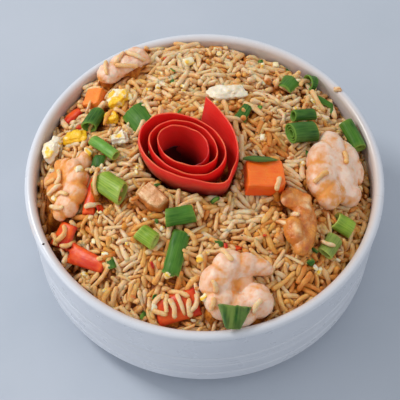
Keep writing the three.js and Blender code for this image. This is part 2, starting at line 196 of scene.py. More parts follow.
def in_order(points: np.ndarray, faces: Faces) -> tuple[np.ndarray, Faces]:
    """Sorts points by place and faces by their points, as some mesh tools shuffle them in each run.

    Args:
        points: The points.
        faces: The faces.

    Returns:
        The same points and faces in an order that never changes.
    """
    order = np.lexsort(np.round(points, 4).T)
    rank = np.argsort(order).tolist()
    rings = [[rank[corner] for corner in face] for face in faces]
    starts = [ring.index(min(ring)) for ring in rings]
    return points[order], sorted(tuple(ring[s:] + ring[:s]) for ring, s in zip(rings, starts))


def ball(rounds: int) -> tuple[np.ndarray, Faces]:
    """Makes a ball of radius 1.

    Args:
        rounds: How often its triangles are split.

    Returns:
        The points and the faces.
    """
    made = bmesh.new()
    bmesh.ops.create_icosphere(made, subdivisions=rounds, radius=1)
    return unpack(made)


def weld(shape: Shape, voxel: float, melt: int) -> Shape:
    """Melts parts that cross each other into one skin.

    Args:
        shape: The parts as one shape.
        voxel: The size of the smallest detail that stays.
        melt: How many rounds of smoothing soften the creases between the parts.

    Returns:
        The closed skin, with each mask taken from the nearest point of the parts.
    """
    mesh = bpy.data.meshes.new("parts")
    mesh.from_pydata(shape.points.tolist(), [], shape.faces)
    body = bpy.data.objects.new("parts", mesh)
    bpy.context.scene.collection.objects.link(body)
    remesh = body.modifiers.new("skin", "REMESH")
    remesh.mode, remesh.voxel_size = "VOXEL", voxel
    soften = body.modifiers.new("soften", "SMOOTH")
    soften.factor, soften.iterations = 0.5, melt
    skin = body.evaluated_get(bpy.context.evaluated_depsgraph_get()).to_mesh()
    points = np.array([vertex.co for vertex in skin.vertices])
    faces = [tuple(face.vertices) for face in skin.polygons]
    bpy.data.objects.remove(body)
    bpy.data.meshes.remove(mesh)
    tree = KDTree(len(shape.points))
    for number, point in enumerate(shape.points):
        tree.insert(point, number)
    tree.balance()
    nearest = [tree.find(point)[1] for point in points]
    return Shape(points, faces, {key: value[nearest] for key, value in shape.masks.items()})


def loft(rings: np.ndarray, masks: Masks, hollow: bool = False) -> Shape:
    """Skins a row of closed rings of points.

    Args:
        rings: The points, by ring, place round the ring and axis.
        masks: Values by ring and place round the ring.
        hollow: Joins the last ring to the first instead of capping both.

    Returns:
        The closed shape.
    """
    count, sides = rings.shape[:2]
    index = np.arange(count * sides).reshape(count, sides)
    last = index if hollow else index[:-1]
    following = np.roll(index, -1, 0)[: len(last)]
    quads = np.stack([last, np.roll(last, -1, 1), np.roll(following, -1, 1), following], -1)
    faces = [tuple(quad) for quad in quads.reshape(-1, 4).tolist()]
    points = rings.reshape(-1, 3)
    flat = {key: value.reshape(count * sides, *value.shape[2:]) for key, value in masks.items()}
    if hollow:
        return Shape(points, faces, flat).outward()
    for middle, ring in ((count * sides, index[0][::-1]), (count * sides + 1, index[-1])):
        faces += [(middle, int(a), int(b)) for a, b in zip(ring, np.roll(ring, -1))]
    points = np.concatenate([points, rings[:1].mean(1), rings[-1:].mean(1)])
    for key, value in masks.items():
        flat[key] = np.concatenate([flat[key], value[:1].mean(1), value[-1:].mean(1)])
    return Shape(points, faces, flat).outward()


def make_piece(name: str, shape: Shape, material: bpy.types.Material, stands_for: str = "",
               sharp: float = 60.0, chart: np.ndarray | None = None) -> None:
    """Makes a Blender object of a shape and hangs it on the frame.

    Args:
        name: The piece's name.
        shape: Its mesh in millimetres.
        material: Its finish.
        stands_for: The CAD node that it takes the place of.
        sharp: Edges that turn by more degrees than this stay crisp.
        chart: A flat map, two numbers for each corner of each face.
    """
    mesh = bpy.data.meshes.new(name)
    mesh.from_pydata((shape.points * MM).tolist(), [], shape.faces)
    for key, values in shape.masks.items():
        kind, entry = ("FLOAT", "value") if values.ndim == 1 else ("FLOAT_VECTOR", "vector")
        layer = mesh.attributes.new(key, kind, "POINT")
        layer.data.foreach_set(entry, values.astype(np.float32).ravel())
    if chart is None:
        body = bmesh.new()
        body.from_mesh(mesh)
        bmesh.ops.recalc_face_normals(body, faces=body.faces)
        body.to_mesh(mesh)
        body.free()
    else:
        layer = mesh.uv_layers.new(name="OFBake")
        layer.data.foreach_set("uv", chart.astype(np.float32).ravel())
    mesh.polygons.foreach_set("use_smooth", np.ones(len(mesh.polygons), bool))
    mesh.set_sharp_from_angle(angle=math.radians(sharp))
    mesh.materials.append(material)
    piece = bpy.data.objects.new(name, mesh)
    bpy.context.scene.collection.objects.link(piece)
    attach(piece, BODY)
    if stands_for:
        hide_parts(stands_for)
    LOG.info("piece %s: %d faces", name, len(mesh.polygons))


# ---- Finishes ----


class Nodes:
    """Adds and joins the nodes of one tree."""

    def __init__(self, tree: bpy.types.NodeTree) -> None:
        """Starts on a tree."""
        self.tree = tree

    def add(self, kind: str, inputs: dict | None = None, **settings: object) -> bpy.types.Node:
        """Adds a node.

        Args:
            kind: Blender's name for the node type.
            inputs: Sockets by name or number, each with a value or the socket that feeds it.
            settings: Properties of the node.

        Returns:
            The node.
        """
        node = self.tree.nodes.new(kind)
        for key, value in settings.items():
            setattr(node, key, value)
        for key, value in (inputs or {}).items():
            if isinstance(value, Socket):
                self.tree.links.new(value, node.inputs[key])
            else:
                node.inputs[key].default_value = value
        return node

    def mask(self, name: str, output: str = "Fac") -> Socket:
        """Reads a mask of the mesh."""
        return self.add("ShaderNodeAttribute", attribute_name=name).outputs[output]

    def sums(self, operation: str, first: object, second: object) -> Socket:
        """Does a sum with two values or sockets."""
        return self.add("ShaderNodeMath", {0: first, 1: second}, operation=operation).outputs[0]

    def blend(self, share: object, first: object, second: object) -> Socket:
        """Mixes two colours, each a tuple or a socket, with so much of the second."""
        sides = [(*c, 1.0) if isinstance(c, tuple) else c for c in (first, second)]
        return self.add("ShaderNodeMix", {0: share, 6: sides[0], 7: sides[1]}, data_type="RGBA").outputs[2]

    def ramp(self, value: object, low: object, high: object, to: tuple = (0.0, 1.0)) -> Socket:
        """Maps values between low and high to the range to."""
        inputs = {"Value": value, "From Min": low, "From Max": high, "To Min": to[0], "To Max": to[1]}
        return self.add("ShaderNodeMapRange", inputs).outputs[0]


class Effect(Enum):
    """The shader groups that the finishes share."""

    MOTTLE = "Mottle"
    STREAKS = "Streaks"
    RELIEF = "Relief"


class Effects:
    """Builds each shared shader group once."""

    def __init__(self) -> None:
        """Makes the three groups."""
        self.groups = {}
        for effect, fill in zip(Effect, (self.mottle, self.streaks, self.relief)):
            self.groups[effect] = bpy.data.node_groups.new(effect.value, "ShaderNodeTree")
            fill(Nodes(self.groups[effect]))

    def start(self, nodes: Nodes, inputs: dict[str, float], output: str, kind: str) -> bpy.types.Node:
        """Gives a group its sockets.

        Args:
            nodes: The group's nodes.
            inputs: Its inputs with their first values.
            output: The name of its one output.
            kind: The output's socket type.

        Returns:
            The node whose outputs are the inputs.
        """
        for name, value in inputs.items():
            socket = nodes.tree.interface.new_socket(name, in_out="INPUT", socket_type="NodeSocketFloat")
            socket.default_value = value
        nodes.tree.interface.new_socket(output, in_out="OUTPUT", socket_type=kind)
        return nodes.add("NodeGroupInput")

    def place(self, nodes: Nodes) -> Socket:
        """Gives the place on the piece in millimetres."""
        spot = nodes.add("ShaderNodeTexCoord").outputs["Object"]
        return nodes.add("ShaderNodeVectorMath", {0: spot, "Scale": 1 / MM}, operation="SCALE").outputs[0]

    def mottle(self, nodes: Nodes) -> None:
        """Makes soft blotches of a given width and contrast.

        Args:
            nodes: The group's nodes.
        """
        sizes = {"Width": 3.0, "Contrast": 0.2, "Seed": 0.0}
        given = self.start(nodes, sizes, "Mask", "NodeSocketFloat").outputs
        scale = nodes.sums("DIVIDE", 1.0, given["Width"])
        inputs = {"Vector": self.place(nodes), "W": given["Seed"], "Scale": scale, "Detail": 3.0}
        cloud = nodes.add("ShaderNodeTexNoise", inputs, noise_dimensions="4D")
        low, high = (nodes.sums(kind, 0.5, given["Contrast"]) for kind in ("SUBTRACT", "ADD"))
        nodes.add("NodeGroupOutput", {"Mask": nodes.ramp(cloud.outputs[0], low, high)})

    def streaks(self, nodes: Nodes) -> None:
        """Makes lines along the piece, by the mask lay that holds millimetres across and along.

        Args:
            nodes: The group's nodes.
        """
        sizes = {"Width": 0.5, "Length": 12.0, "Seed": 0.0}
        given = self.start(nodes, sizes, "Mask", "NodeSocketFloat").outputs
        size = nodes.add("ShaderNodeCombineXYZ", {0: given["Width"], 1: given["Length"], 2: 1.0})
        parts = {0: nodes.mask("lay", "Vector"), 1: size.outputs[0]}
        place = nodes.add("ShaderNodeVectorMath", parts, operation="DIVIDE")
        inputs = {"Vector": place.outputs[0], "W": given["Seed"], "Scale": 1.0, "Detail": 2.0}
        lines = nodes.add("ShaderNodeTexNoise", inputs, noise_dimensions="4D")
        nodes.add("NodeGroupOutput", {"Mask": nodes.ramp(lines.outputs[0], 0.38, 0.62)})

    def relief(self, nodes: Nodes) -> None:
        """Makes fine grain in the surface as a normal, from its width and height.

        Args:
            nodes: The group's nodes.
        """
        given = self.start(nodes, {"Width": 0.6, "Height": 0.05}, "Normal", "NodeSocketVector").outputs
        inputs = {"Vector": self.place(nodes), "Scale": nodes.sums("DIVIDE", 1.0, given["Width"])}
        grain = nodes.add("ShaderNodeTexNoise", {**inputs, "Detail": 3.0})
        pits = nodes.add("ShaderNodeTexVoronoi", inputs)
        height = nodes.sums("ADD", grain.outputs[0], pits.outputs[0])
        deep = nodes.sums("MULTIPLY", given["Height"], MM)
        bump = nodes.add("ShaderNodeBump", {"Height": height, "Distance": deep, "Strength": 1.0})
        nodes.add("NodeGroupOutput", {"Normal": bump.outputs[0]})

    def use(self, nodes: Nodes, effect: Effect, inputs: dict[str, float]) -> Socket:
        """Places a group in a material with its own values."""
        return nodes.add("ShaderNodeGroup", inputs, node_tree=self.groups[effect]).outputs[0]


@dataclass(frozen=True)
class Finish:
    """A moist food surface: two mottled colours, a third by mask, streaks and fine relief.

    These four colours are as a screen shows them, 0 to 255. All others are linear light.
    """

    name: str
    light: Colour
    dark: Colour
    tint: Colour | None = None
    streak: Colour | None = None
    streak_size: tuple[float, float] = (0.5, 12.0)
    streak_share: float = 0.5
    mottle: float = 3.0
    contrast: float = 0.2
    roughness: float = 0.35
    relief: float = 0.05
    relief_width: float = 0.6
    glow: float = 0.15
    glow_depth: float = 1.5
    glow_colour: Colour = (1.0, 0.45, 0.25)
    coat: float = 0.0
    shine: float = 0.5

    def variant(self, name: str, *colours: Colour) -> "Finish":
        """Copies the finish under another name with its own light, dark, tint and streak."""
        return replace(self, name=name, **dict(zip(("light", "dark", "tint", "streak"), colours)))

    def blotches(self, nodes: Nodes, effects: Effects, seed: float) -> Socket:
        """Gives the blotches that mix the finish's colours."""
        sizes = {"Width": self.mottle, "Contrast": self.contrast, "Seed": seed}
        return effects.use(nodes, Effect.MOTTLE, sizes)

    def colour(self, nodes: Nodes, effects: Effects) -> Socket:
        """Builds the surface colour.

        Args:
            nodes: The material's nodes.
            effects: The shared groups.

        Returns:
            The colour's socket.
        """
        made = nodes.blend(self.blotches(nodes, effects, len(self.name)), paint(self.light), paint(self.dark))
        if self.streak:
            lines = effects.use(nodes, Effect.STREAKS, dict(zip(("Width", "Length"), self.streak_size)))
            made = nodes.blend(nodes.ramp(lines, 0, 1, (0, self.streak_share)), made, paint(self.streak))
        if self.tint:
            made = nodes.blend(nodes.mask("tint"), made, paint(self.tint))
        return made

    def material(self, effects: Effects) -> bpy.types.Material:
        """Builds the material, or finds it if it was built before.

        Args:
            effects: The shared groups.

        Returns:
            The material.
        """
        if self.name in bpy.data.materials:
            return bpy.data.materials[self.name]
        made = bpy.data.materials.new(self.name)
        made.use_nodes = True
        made.node_tree.nodes.clear()
        nodes = Nodes(made.node_tree)
        patches = effects.use(nodes, Effect.MOTTLE, {"Width": self.mottle / 2, "Contrast": 0.25, "Seed": 3.0})
        relief = {"Width": self.relief_width, "Height": self.relief}
        inputs = {
            "Base Color": self.colour(nodes, effects),
            "Roughness": nodes.ramp(patches, 0, 1, (self.roughness * 0.75, self.roughness * 1.3)),
            "Normal": effects.use(nodes, Effect.RELIEF, relief),
            "Subsurface Weight": self.glow,
            "Subsurface Radius": self.glow_colour,
            "Subsurface Scale": self.glow_depth * MM,
            "Specular IOR Level": self.shine,
            "Coat Weight": self.coat,
            "Coat Roughness": 0.12,
        }
        shader = nodes.add("ShaderNodeBsdfPrincipled", inputs)
        nodes.add("ShaderNodeOutputMaterial", {"Surface": shader.outputs[0]})
        return made


@dataclass(frozen=True)
class GrainFinish(Finish):
    """Cooked rice: each grain has its tone and stained tips, with painted shade on its sides, and sauce
    colour with painted shade that darkens the depths between grains.
    """

    # Sauce colour with painted shade for grains below the tops, then a near-black painted shade for the
    # deepest.
    soaked_and_shaded: Colour = (0.64, 0.19, 0.014)
    depth_shade: Colour = (0.15, 0.028, 0.002)

    def colour(self, nodes: Nodes, effects: Effects) -> Socket:
        """Builds the colour from each grain's tone, its tips, and painted shade on its sides and in the
        depths.

        Args:
            nodes: The material's nodes.
            effects: The shared groups.

        Returns:
            The colour's socket.
        """
        made = nodes.blend(nodes.mask("tone"), paint(self.light), paint(self.dark))
        stain = nodes.ramp(self.blotches(nodes, effects, 1.0), 0, 1, (0, 0.65))
        # Stained tips, with painted shade on each grain's sides and underside in the same mask; tops stay
        # paler.
        tips = nodes.ramp(nodes.mask("tip"), 0, 1, (0, 0.6))
        # Depth under the tops: sauce colour with painted shade, near black at the bottom.
        soak_and_shade = nodes.mask("soak_and_shade")
        sauce, depths = nodes.ramp(soak_and_shade, 0, 0.7, (0, 0.75)), nodes.ramp(soak_and_shade, 0.6, 1, (0, 0.88))
        brown = paint(self.tint)
        for share, colour in ((stain, brown), (tips, brown), (sauce, self.soaked_and_shaded), (depths, self.depth_shade)):
            made = nodes.blend(share, made, colour)
        return made


@dataclass(frozen=True)
class PeelFinish(Finish):
    """Rolled peel with painted shade: the mask deep darkens it down into the heart of the roll."""

    # Near-black colour of the painted shade.
    deep: Colour = (0.06, 0.003, 0.005)

    def colour(self, nodes: Nodes, effects: Effects) -> Socket:
        """Builds the colour and its painted shade."""
        return nodes.blend(nodes.mask("deep"), super().colour(nodes, effects), self.deep)


# The glaze's third colour is the tan of food smears, also used for painted warm reflection and painted shade
# on the lip.
GLAZE = Finish("white_glaze", (218, 222, 230), (211, 215, 224), (214, 168, 120), mottle=22, roughness=0.3,
               relief=0.006, relief_width=2.2, glow=0, coat=0.1)
# The core's third colour is a near-black painted shade for its holes and pit.
CORE = Finish("sticky_rice_core", (214, 134, 46), (160, 80, 20), (84, 27, 6), mottle=2.6, contrast=0.14,
              roughness=0.4, relief=0.4, relief_width=1.2, glow_depth=1.2, glow_colour=(1, 0.5, 0.2),
              shine=0.15)
PEEL = PeelFinish("red_peel", (254, 54, 46), (240, 36, 38), (246, 112, 66), (230, 48, 32), (1.1, 16), 0.4,
                  mottle=9, roughness=0.4, relief=0.02, relief_width=0.5, glow=0.45, glow_depth=3,
                  glow_colour=(1, 0.12, 0.05))
PRAWN = Finish("cooked_prawn", (250, 223, 206), (243, 200, 169), (234, 156, 76), (250, 232, 216), (1.8, 9),
               0.2, mottle=7, contrast=0.3, roughness=0.36, relief=0.1, relief_width=0.9, glow=0.4,
               glow_depth=2.5, glow_colour=(1, 0.42, 0.28), shine=0.35)
CHICKEN = Finish("seared_chicken", (238, 162, 64), (198, 92, 24), (244, 208, 158), (190, 100, 34), (0.8, 7),
                 mottle=4, roughness=0.36, relief=0.22, relief_width=1, glow=0.08)
CHICKEN_PALE = CHICKEN.variant("pale_chicken", (250, 214, 166), (240, 184, 126), (208, 124, 52))
EGG = Finish("scrambled_egg", (250, 244, 226), (247, 226, 160), (250, 196, 26), mottle=4.5, contrast=0.25,
             roughness=0.36, relief=0.1, relief_width=0.8, glow=0.3, glow_depth=2, glow_colour=(1, 0.7, 0.3))
EGG_WHITE = EGG.variant("egg_white", (246, 238, 220), (240, 224, 190), (250, 208, 70))
CARROT = Finish("cooked_carrot", (255, 124, 16), (248, 98, 12), (236, 70, 18), (255, 158, 62), (0.8, 9), 0.3,
                mottle=7, roughness=0.3, relief=0.03, glow=0.25, glow_colour=(1, 0.3, 0.06), coat=0.1)
# Painted light: a lighter copy of the carrot for the cube, which lies in shade.
CARROT_PAINTED_LIGHT = CARROT.variant("bright_carrot", (255, 152, 56), (254, 128, 38))
PEPPER = Finish("red_pepper", (240, 92, 26), (206, 34, 20), (168, 20, 18), (246, 120, 44), (1.2, 12), 0.3,
                mottle=6, contrast=0.1, roughness=0.34, relief=0.03, glow=0.25, glow_colour=(1, 0.18, 0.06),
                shine=0.3)
ONION = Finish("green_onion", (70, 122, 34), (42, 92, 24), (140, 166, 68), (104, 144, 56), (0.7, 14), 0.45,
               mottle=6, roughness=0.45, relief=0.02, glow_colour=(0.35, 0.9, 0.2), shine=0.2)
ONION_DARK = ONION.variant("dark_green_onion", (50, 100, 32), (20, 64, 18), (118, 156, 60))
ONION_PALE = Finish("pale_green_onion", (126, 164, 24), (80, 126, 16), (186, 198, 96), (174, 194, 74),
                    (0.6, 14), 0.6, mottle=7, roughness=0.44, relief=0.02, glow=0.2,
                    glow_colour=(0.5, 0.9, 0.2), shine=0.4)
ONION_DULL = ONION_PALE.variant("dull_green_onion", (124, 146, 50), (86, 112, 34), (186, 198, 96),
                                (158, 170, 84))
ONION_BRIGHT = ONION_PALE.variant("bright_green_onion", (96, 156, 40), (50, 112, 24), (186, 198, 96),
                                  (134, 180, 72))
LEAF = Finish("green_leaf", (44, 98, 18), (10, 46, 6), (128, 150, 70), (176, 196, 96), (3, 18), 0.32,
              mottle=4, roughness=0.34, glow=0.1, glow_colour=(0.3, 0.9, 0.2), shine=0.3)
RICE_PALE = GrainFinish("pale_rice", (240, 217, 184), (236, 205, 160), (233, 176, 102), mottle=2.4,
                        contrast=0.13, roughness=0.38, relief=0.13, relief_width=0.8, glow=0.65,
                        glow_depth=2.3, glow_colour=(1, 0.55, 0.25), shine=0.2)
RICE_CREAM = RICE_PALE.variant("cream_rice", (239, 207, 161), (233, 190, 130), (229, 162, 80))
RICE_GOLDEN = RICE_PALE.variant("golden_rice", (240, 202, 138), (232, 176, 94), (220, 142, 50))
RICE_TOASTED = RICE_PALE.variant("toasted_rice", (236, 178, 102), (218, 144, 64), (196, 106, 36))
SPECK = Finish("dark_speck", (70, 38, 24), (36, 20, 14), mottle=1, roughness=0.5, glow=0)
FLOOR = Finish("pale_table", (186, 194, 206), (181, 190, 202), mottle=60, roughness=0.6, relief=0.02,
               relief_width=3, glow=0)


# ---- The heap and what lies on it ----


@dataclass(frozen=True)
class Heap:
    """The surface of the heaped rice, as in the frame.

    The waves round its edge are counts, heights and turns. The hollows are places, radii and depths.
    """

    crown: float = 82.0
    edge: float = 59.0
    wall: float = 84.17
    waves: tuple[tuple, ...] = ((2, 2.5, 102), (4, 0.8, 33), (5, 0.9, -34))
    hollows: tuple[tuple, ...] = ((-75.5, -23, 7, 9), (-66, -50, 7, 9), (50.5, -13, 4, 7), (37.5, -24, 5, 7),
                                  (69, -45, 4.5, 6), (24, 20, 4, 4), (-27, 47, 4, 5), (8, -38, 4, 5))

    def height(self, x: np.ndarray, y: np.ndarray) -> np.ndarray:
        """Gives the surface's height.

        Args:
            x: Places to the right.
            y: Places to the back.

        Returns:
            The height at each place.
        """
        angle = np.arctan2(y, x)
        edge = self.edge
        for count, rise, turn in self.waves:
            edge = edge + rise * np.cos(count * (angle - math.radians(turn)))
        share = np.minimum(1, np.hypot(x, y) / self.wall)
        lumps = 1.3 * np.sin(x / 11 + 1.3) * np.cos(y / 13 - 0.4) + 0.8 * np.sin((x + y) / 7.5 + 0.5)
        return edge + (self.crown - edge) * (1 - share**2) + lumps * (1 - share**4)

    def lumpy(self, x: np.ndarray, y: np.ndarray) -> np.ndarray:
        """Gives the height that the loose grains reach, with hillocks, hollows and a bank at the back.

        Args:
            x: Places to the right.
            y: Places to the back.

        Returns:
            The height at each place.
        """
        hills = 1.7 * np.sin(x / 3.4 + 1.7 * np.sin(y / 7.1)) * np.cos(y / 3.1 + 1.3 * np.sin(x / 6.3))
        hills = hills + 1.2 * np.sin((x - y) / 5.3 + 2.0) * np.sin((x + 0.6 * y) / 8.1)
        turn = np.arctan2(y, x) - math.radians(118)
        bank = 4.0 * np.exp(-((np.arctan2(np.sin(turn), np.cos(turn)) / 0.7) ** 2))
        made = self.height(x, y) + hills + bank * smoothstep(np.hypot(x, y), 50, 78)
        for middle_x, middle_y, radius, depth in self.hollows:
            made = made - depth * np.exp(-((x - middle_x) ** 2 + (y - middle_y) ** 2) / radius**2)
        return made

    def normal(self, x: float, y: float, step: float = 3.0) -> Vector:
        """Gives the direction square to the surface, from the heights a step away.

        Args:
            x: Place to the right.
            y: Place to the back.
            step: How far from the place the heights are taken.

        Returns:
            The direction.
        """
        slope_x = (self.height(x + step, y) - self.height(x - step, y)) / (2 * step)
        slope_y = (self.height(x, y + step) - self.height(x, y - step)) / (2 * step)
        return Vector((-float(slope_x), -float(slope_y), 1)).normalized()


HEAP = Heap()


@dataclass(frozen=True)
class Seat:
    """Where a topping lies: its middle, its height above the rice, and its turns in degrees."""

    x: float
    y: float
    lift: float
    yaw: float = 0
    lean: float = 0
    roll: float = 0

    def matrix(self) -> Matrix:
        """Gives the move from the topping's own frame to the part's.

        Returns:
            The turn and the shift as one matrix.
        """
        place = Vector((self.x, self.y, float(HEAP.height(self.x, self.y)) + self.lift))
        tilt = UP.rotation_difference(HEAP.normal(self.x, self.y)).to_matrix()
        for angle, axis in zip((self.yaw, self.lean, self.roll), "ZYX"):
            tilt = tilt @ Matrix.Rotation(math.radians(angle), 3, axis)
        return Matrix.Translation(place) @ tilt.to_4x4()


@dataclass
class Topping:
    """A piece that lies on the rice. Its kinds give its shape."""

    name: str
    seat: Seat
    finish: Finish
    slot: str
    seed: float = 1.0

    def shape(self) -> Shape:
        """Gives the mesh in the topping's own frame."""
        raise NotImplementedError

    def build(self, effects: Effects) -> Shape:
        """Makes the piece.

        Args:
            effects: The shared shader groups.

        Returns:
            The shape as it lies, for the grains to rest against.
        """
        shape = self.shape().moved(self.seat.matrix())
        make_piece(self.name + "_food", shape, self.finish.material(effects), self.name)
        return shape


@dataclass(frozen=True)
class Lobe:
    """A swelling of flesh in a curl: its middle, its half sizes, its turn and how tinted it is."""

    middle: tuple[float, float, float]
    half: tuple[float, float, float]
    yaw: float = 0.0
    tint: float = 0.0

    def shape(self, seed: float) -> Shape:
        """Gives the uneven ball.

        Args:
            seed: A number that picks its dents.

        Returns:
            The swelling in the curl's frame.
        """
        p, faces = ball(5)
        flat = p * np.array(self.half)
        c, s = math.cos(math.radians(self.yaw)), math.sin(math.radians(self.yaw))
        points = flat @ np.array([[c, s, 0], [-s, c, 0], [0, 0, 1]]) + np.array(self.middle)
        patches = smoothstep(rough(points, 5, seed + 2, 2), 0.1, 0.6)
        tint = np.clip(self.tint + 0.4 * patches, 0, 1)
        return Shape(points, faces, {"tint": tint, "lay": lay_map(flat[:, 1], flat[:, 0], seed)})


@dataclass
class Curled(Topping):
    """A body that follows an arc, swells to a waist and may have the rings of a prawn's tail.

    Its angles first and last are degrees. Each stain is a place, a radius and a strength. The extra
    tint is all over, creased tints the dents, and melt is how many rounds soften the joins.
    """

    radius: float = 10.0
    first: float = 90.0
    last: float = -90.0
    girths: tuple[float, float, float] = (5.0, 6.0, 4.0)
    waist_at: float = 0.5
    stretch: float = 1.0
    rings: int = 6
    squash: float = 0.85
    back_tint: float = 0.0
    extra_tint: float = 0.0
    creased: float = 1.0
    veins: float = 0.22
    bumps: float = 0.35
    melt: int = 24
    ringed: float = 1.0
    seam_depth: float = 0.3
    seam_tint: float = 0.3
    seam_width: float = 0.5
    lobes: tuple[Lobe, ...] = ()
    stains: tuple[tuple, ...] = ()
    voxel: float = 0.55
    steps: int = 110
    sides: int = 40

    def shape(self) -> Shape:
        """Joins the arc and its lobes and roughens them.

        Returns:
            The body in its own frame.
        """
        parts = [self.arc(), *(lobe.shape(self.seed + n) for n, lobe in enumerate(self.lobes))]
        body = weld(join(parts), self.voxel, self.melt)
        seam = self.seams(body.points)
        body = body.pushed(-(self.seam_depth * seam))
        tint = body.masks["tint"] + self.extra_tint + self.seam_tint * seam
        for size, height, share in ((6.5, 1.0, 0.3), (2.8, 0.42, 0.28), (1.3, 0.2, 0.1)):
            push = rough(body.points, size, self.seed + size, 2)
            tint = tint + self.creased * share * smoothstep(-push, 0.0, 0.5)
            body = body.pushed(self.bumps * height * push)
        tint = tint + self.veins * (1 - smoothstep(np.abs(rough(body.points, 10, self.seed + 9, 2)), 0, 0.07))
        for x, y, radius, amount in self.stains:
            gap = np.hypot(body.points[:, 0] - x, body.points[:, 1] - y) / radius
            tint = tint + amount * np.exp(-(gap**2)) * (0.7 + 0.6 * rough(body.points, 2.5, self.seed + 4, 2))
        body.masks["tint"] = np.clip(tint, 0, 1)
        return body

    def middle(self) -> tuple[float, float]:
        """Gives the arc's mean place, which becomes the middle of the curl."""
        coarse = np.radians(self.first + (self.last - self.first) * np.linspace(0, 1, 11))
        return self.radius * np.cos(coarse).mean(), self.radius * np.sin(coarse).mean()

    def seams(self, points: np.ndarray) -> np.ndarray:
        """Marks the narrow folds between the rings, strongest on the outer side of the curl.

        Args:
            points: The skin's points.

        Returns:
            A share from 0 to 1 for each point.
        """
        if not self.rings:
            return np.zeros(len(points))
        middle = self.middle()
        across, along = points[:, 0] + middle[0], points[:, 1] / self.stretch + middle[1]
        turn = (np.degrees(np.arctan2(along, across)) - (self.first + self.last) / 2 + 180) % 360 - 180
        share = (turn / (self.last - self.first) + 0.5) * self.rings
        gap = np.abs(share - np.round(share)) * abs(math.radians(self.last - self.first))
        gap = gap * self.radius / self.rings
        outer = smoothstep(np.hypot(across, along), 0.8 * self.radius, 1.2 * self.radius)
        return np.exp(-((gap / self.seam_width) ** 2)) * outer

    def arc(self) -> Shape:
        """Sweeps the section along the arc.

        Returns:
            The bare arc in its own frame.
        """
        u = np.linspace(0, 1, self.steps)
        angle = np.radians(self.first + (self.last - self.first) * u)
        closing = np.sqrt(np.clip(1 - np.abs(2 * u - 1) ** 7, 0, 1))
        start, waist, end = self.girths
        nearest = np.where(u < self.waist_at, start, end)
        v = np.where(u < self.waist_at, u / self.waist_at, (1 - u) / (1 - self.waist_at))
        swell = nearest + (waist - nearest) * np.sin(np.pi / 2 * v)
        part = (u * self.rings) % 1 if self.rings else np.zeros_like(u)
        scale = 1 + 0.24 * self.ringed * (np.sin(np.pi * part) ** 0.6 - 0.7) * (1 if self.rings else 0)
        girth = np.maximum(swell * closing, 0.15)
        a = np.linspace(0, 2 * np.pi, self.sides, endpoint=False) + np.pi
        back = 0.5 + 0.5 * np.cos(a)
        radial = np.cos(a)[None] * girth[:, None] * (1 + (scale[:, None] - 1) * (0.3 + back))
        height = np.sin(a)[None] * girth[:, None] * self.squash * scale[:, None] * (0.9 + 0.1 * back)
        reach = self.radius + radial
        points = np.stack([np.cos(angle)[:, None] * reach, np.sin(angle)[:, None] * reach, height], -1)
        points[..., :2] -= self.middle()
        points[..., 1] *= self.stretch
        patches = rough(points.reshape(-1, 3), 7, self.seed + 2, 2).reshape(height.shape)
        patches = smoothstep(patches, 0.12, 0.6)
        edge = smoothstep(np.abs(2 * part - 1), 0.55, 1.0)[:, None] * smoothstep(back, 0.1, 0.7)[None]
        ends = 1 - smoothstep(closing, 0.4, 0.95)[:, None]
        outer = self.back_tint * smoothstep(back, 0.45, 0.85)[None]
        tint = np.clip(0.5 * edge + 0.3 * patches + 0.5 * ends + outer, 0, 1)
        along, around = np.meshgrid(u * 40, a * 6, indexing="ij")
        return loft(points, {"tint": tint, "lay": lay_map(along, around, self.seed)})


@dataclass
class Curd(Topping):
    """An uneven curd of egg with torn hollows; yolk is the share of it that is yellow."""

    size: tuple[float, float, float] = (12.0, 9.0, 6.0)
    yolk: float = 0.5
    torn: float = 1.0

    def shape(self) -> Shape:
        """Puffs a ball into lumps.

        Returns:
            The curd in its own frame.
        """
        p, faces = ball(5)
        p = p / np.abs(p).max(1, keepdims=True) ** 0.25
        broad = 0.14 * np.sin(4 * p[:, 0] + self.seed) * np.cos(3 * p[:, 1] - self.seed)
        fine = 0.08 * np.sin(6 * p[:, 2] + 2 * self.seed)
        points = p * (1 + broad + fine)[:, None] * (np.array(self.size) / 2)
        folds = 1 - 2 * np.abs(rough(points * np.array([1, 0.6, 0.6]), 5.4, self.seed + 3, 2))
        rags = 0.45 * rough(points, 2.4, self.seed + 11, 2) + 0.15 * rough(points, 1.0, self.seed, 2)
        points = points * 0.9 + p * (self.torn * (0.9 * (folds - 0.55) + rags))[:, None]
        tint = smoothstep(rough(points, 4.5, self.seed + 7, 3), 0.5 - 1.1 * self.yolk, 0.95 - 1.1 * self.yolk)
        return Shape(points, faces, {"tint": tint, "lay": lay_map(points[:, 1], points[:, 0], self.seed)})


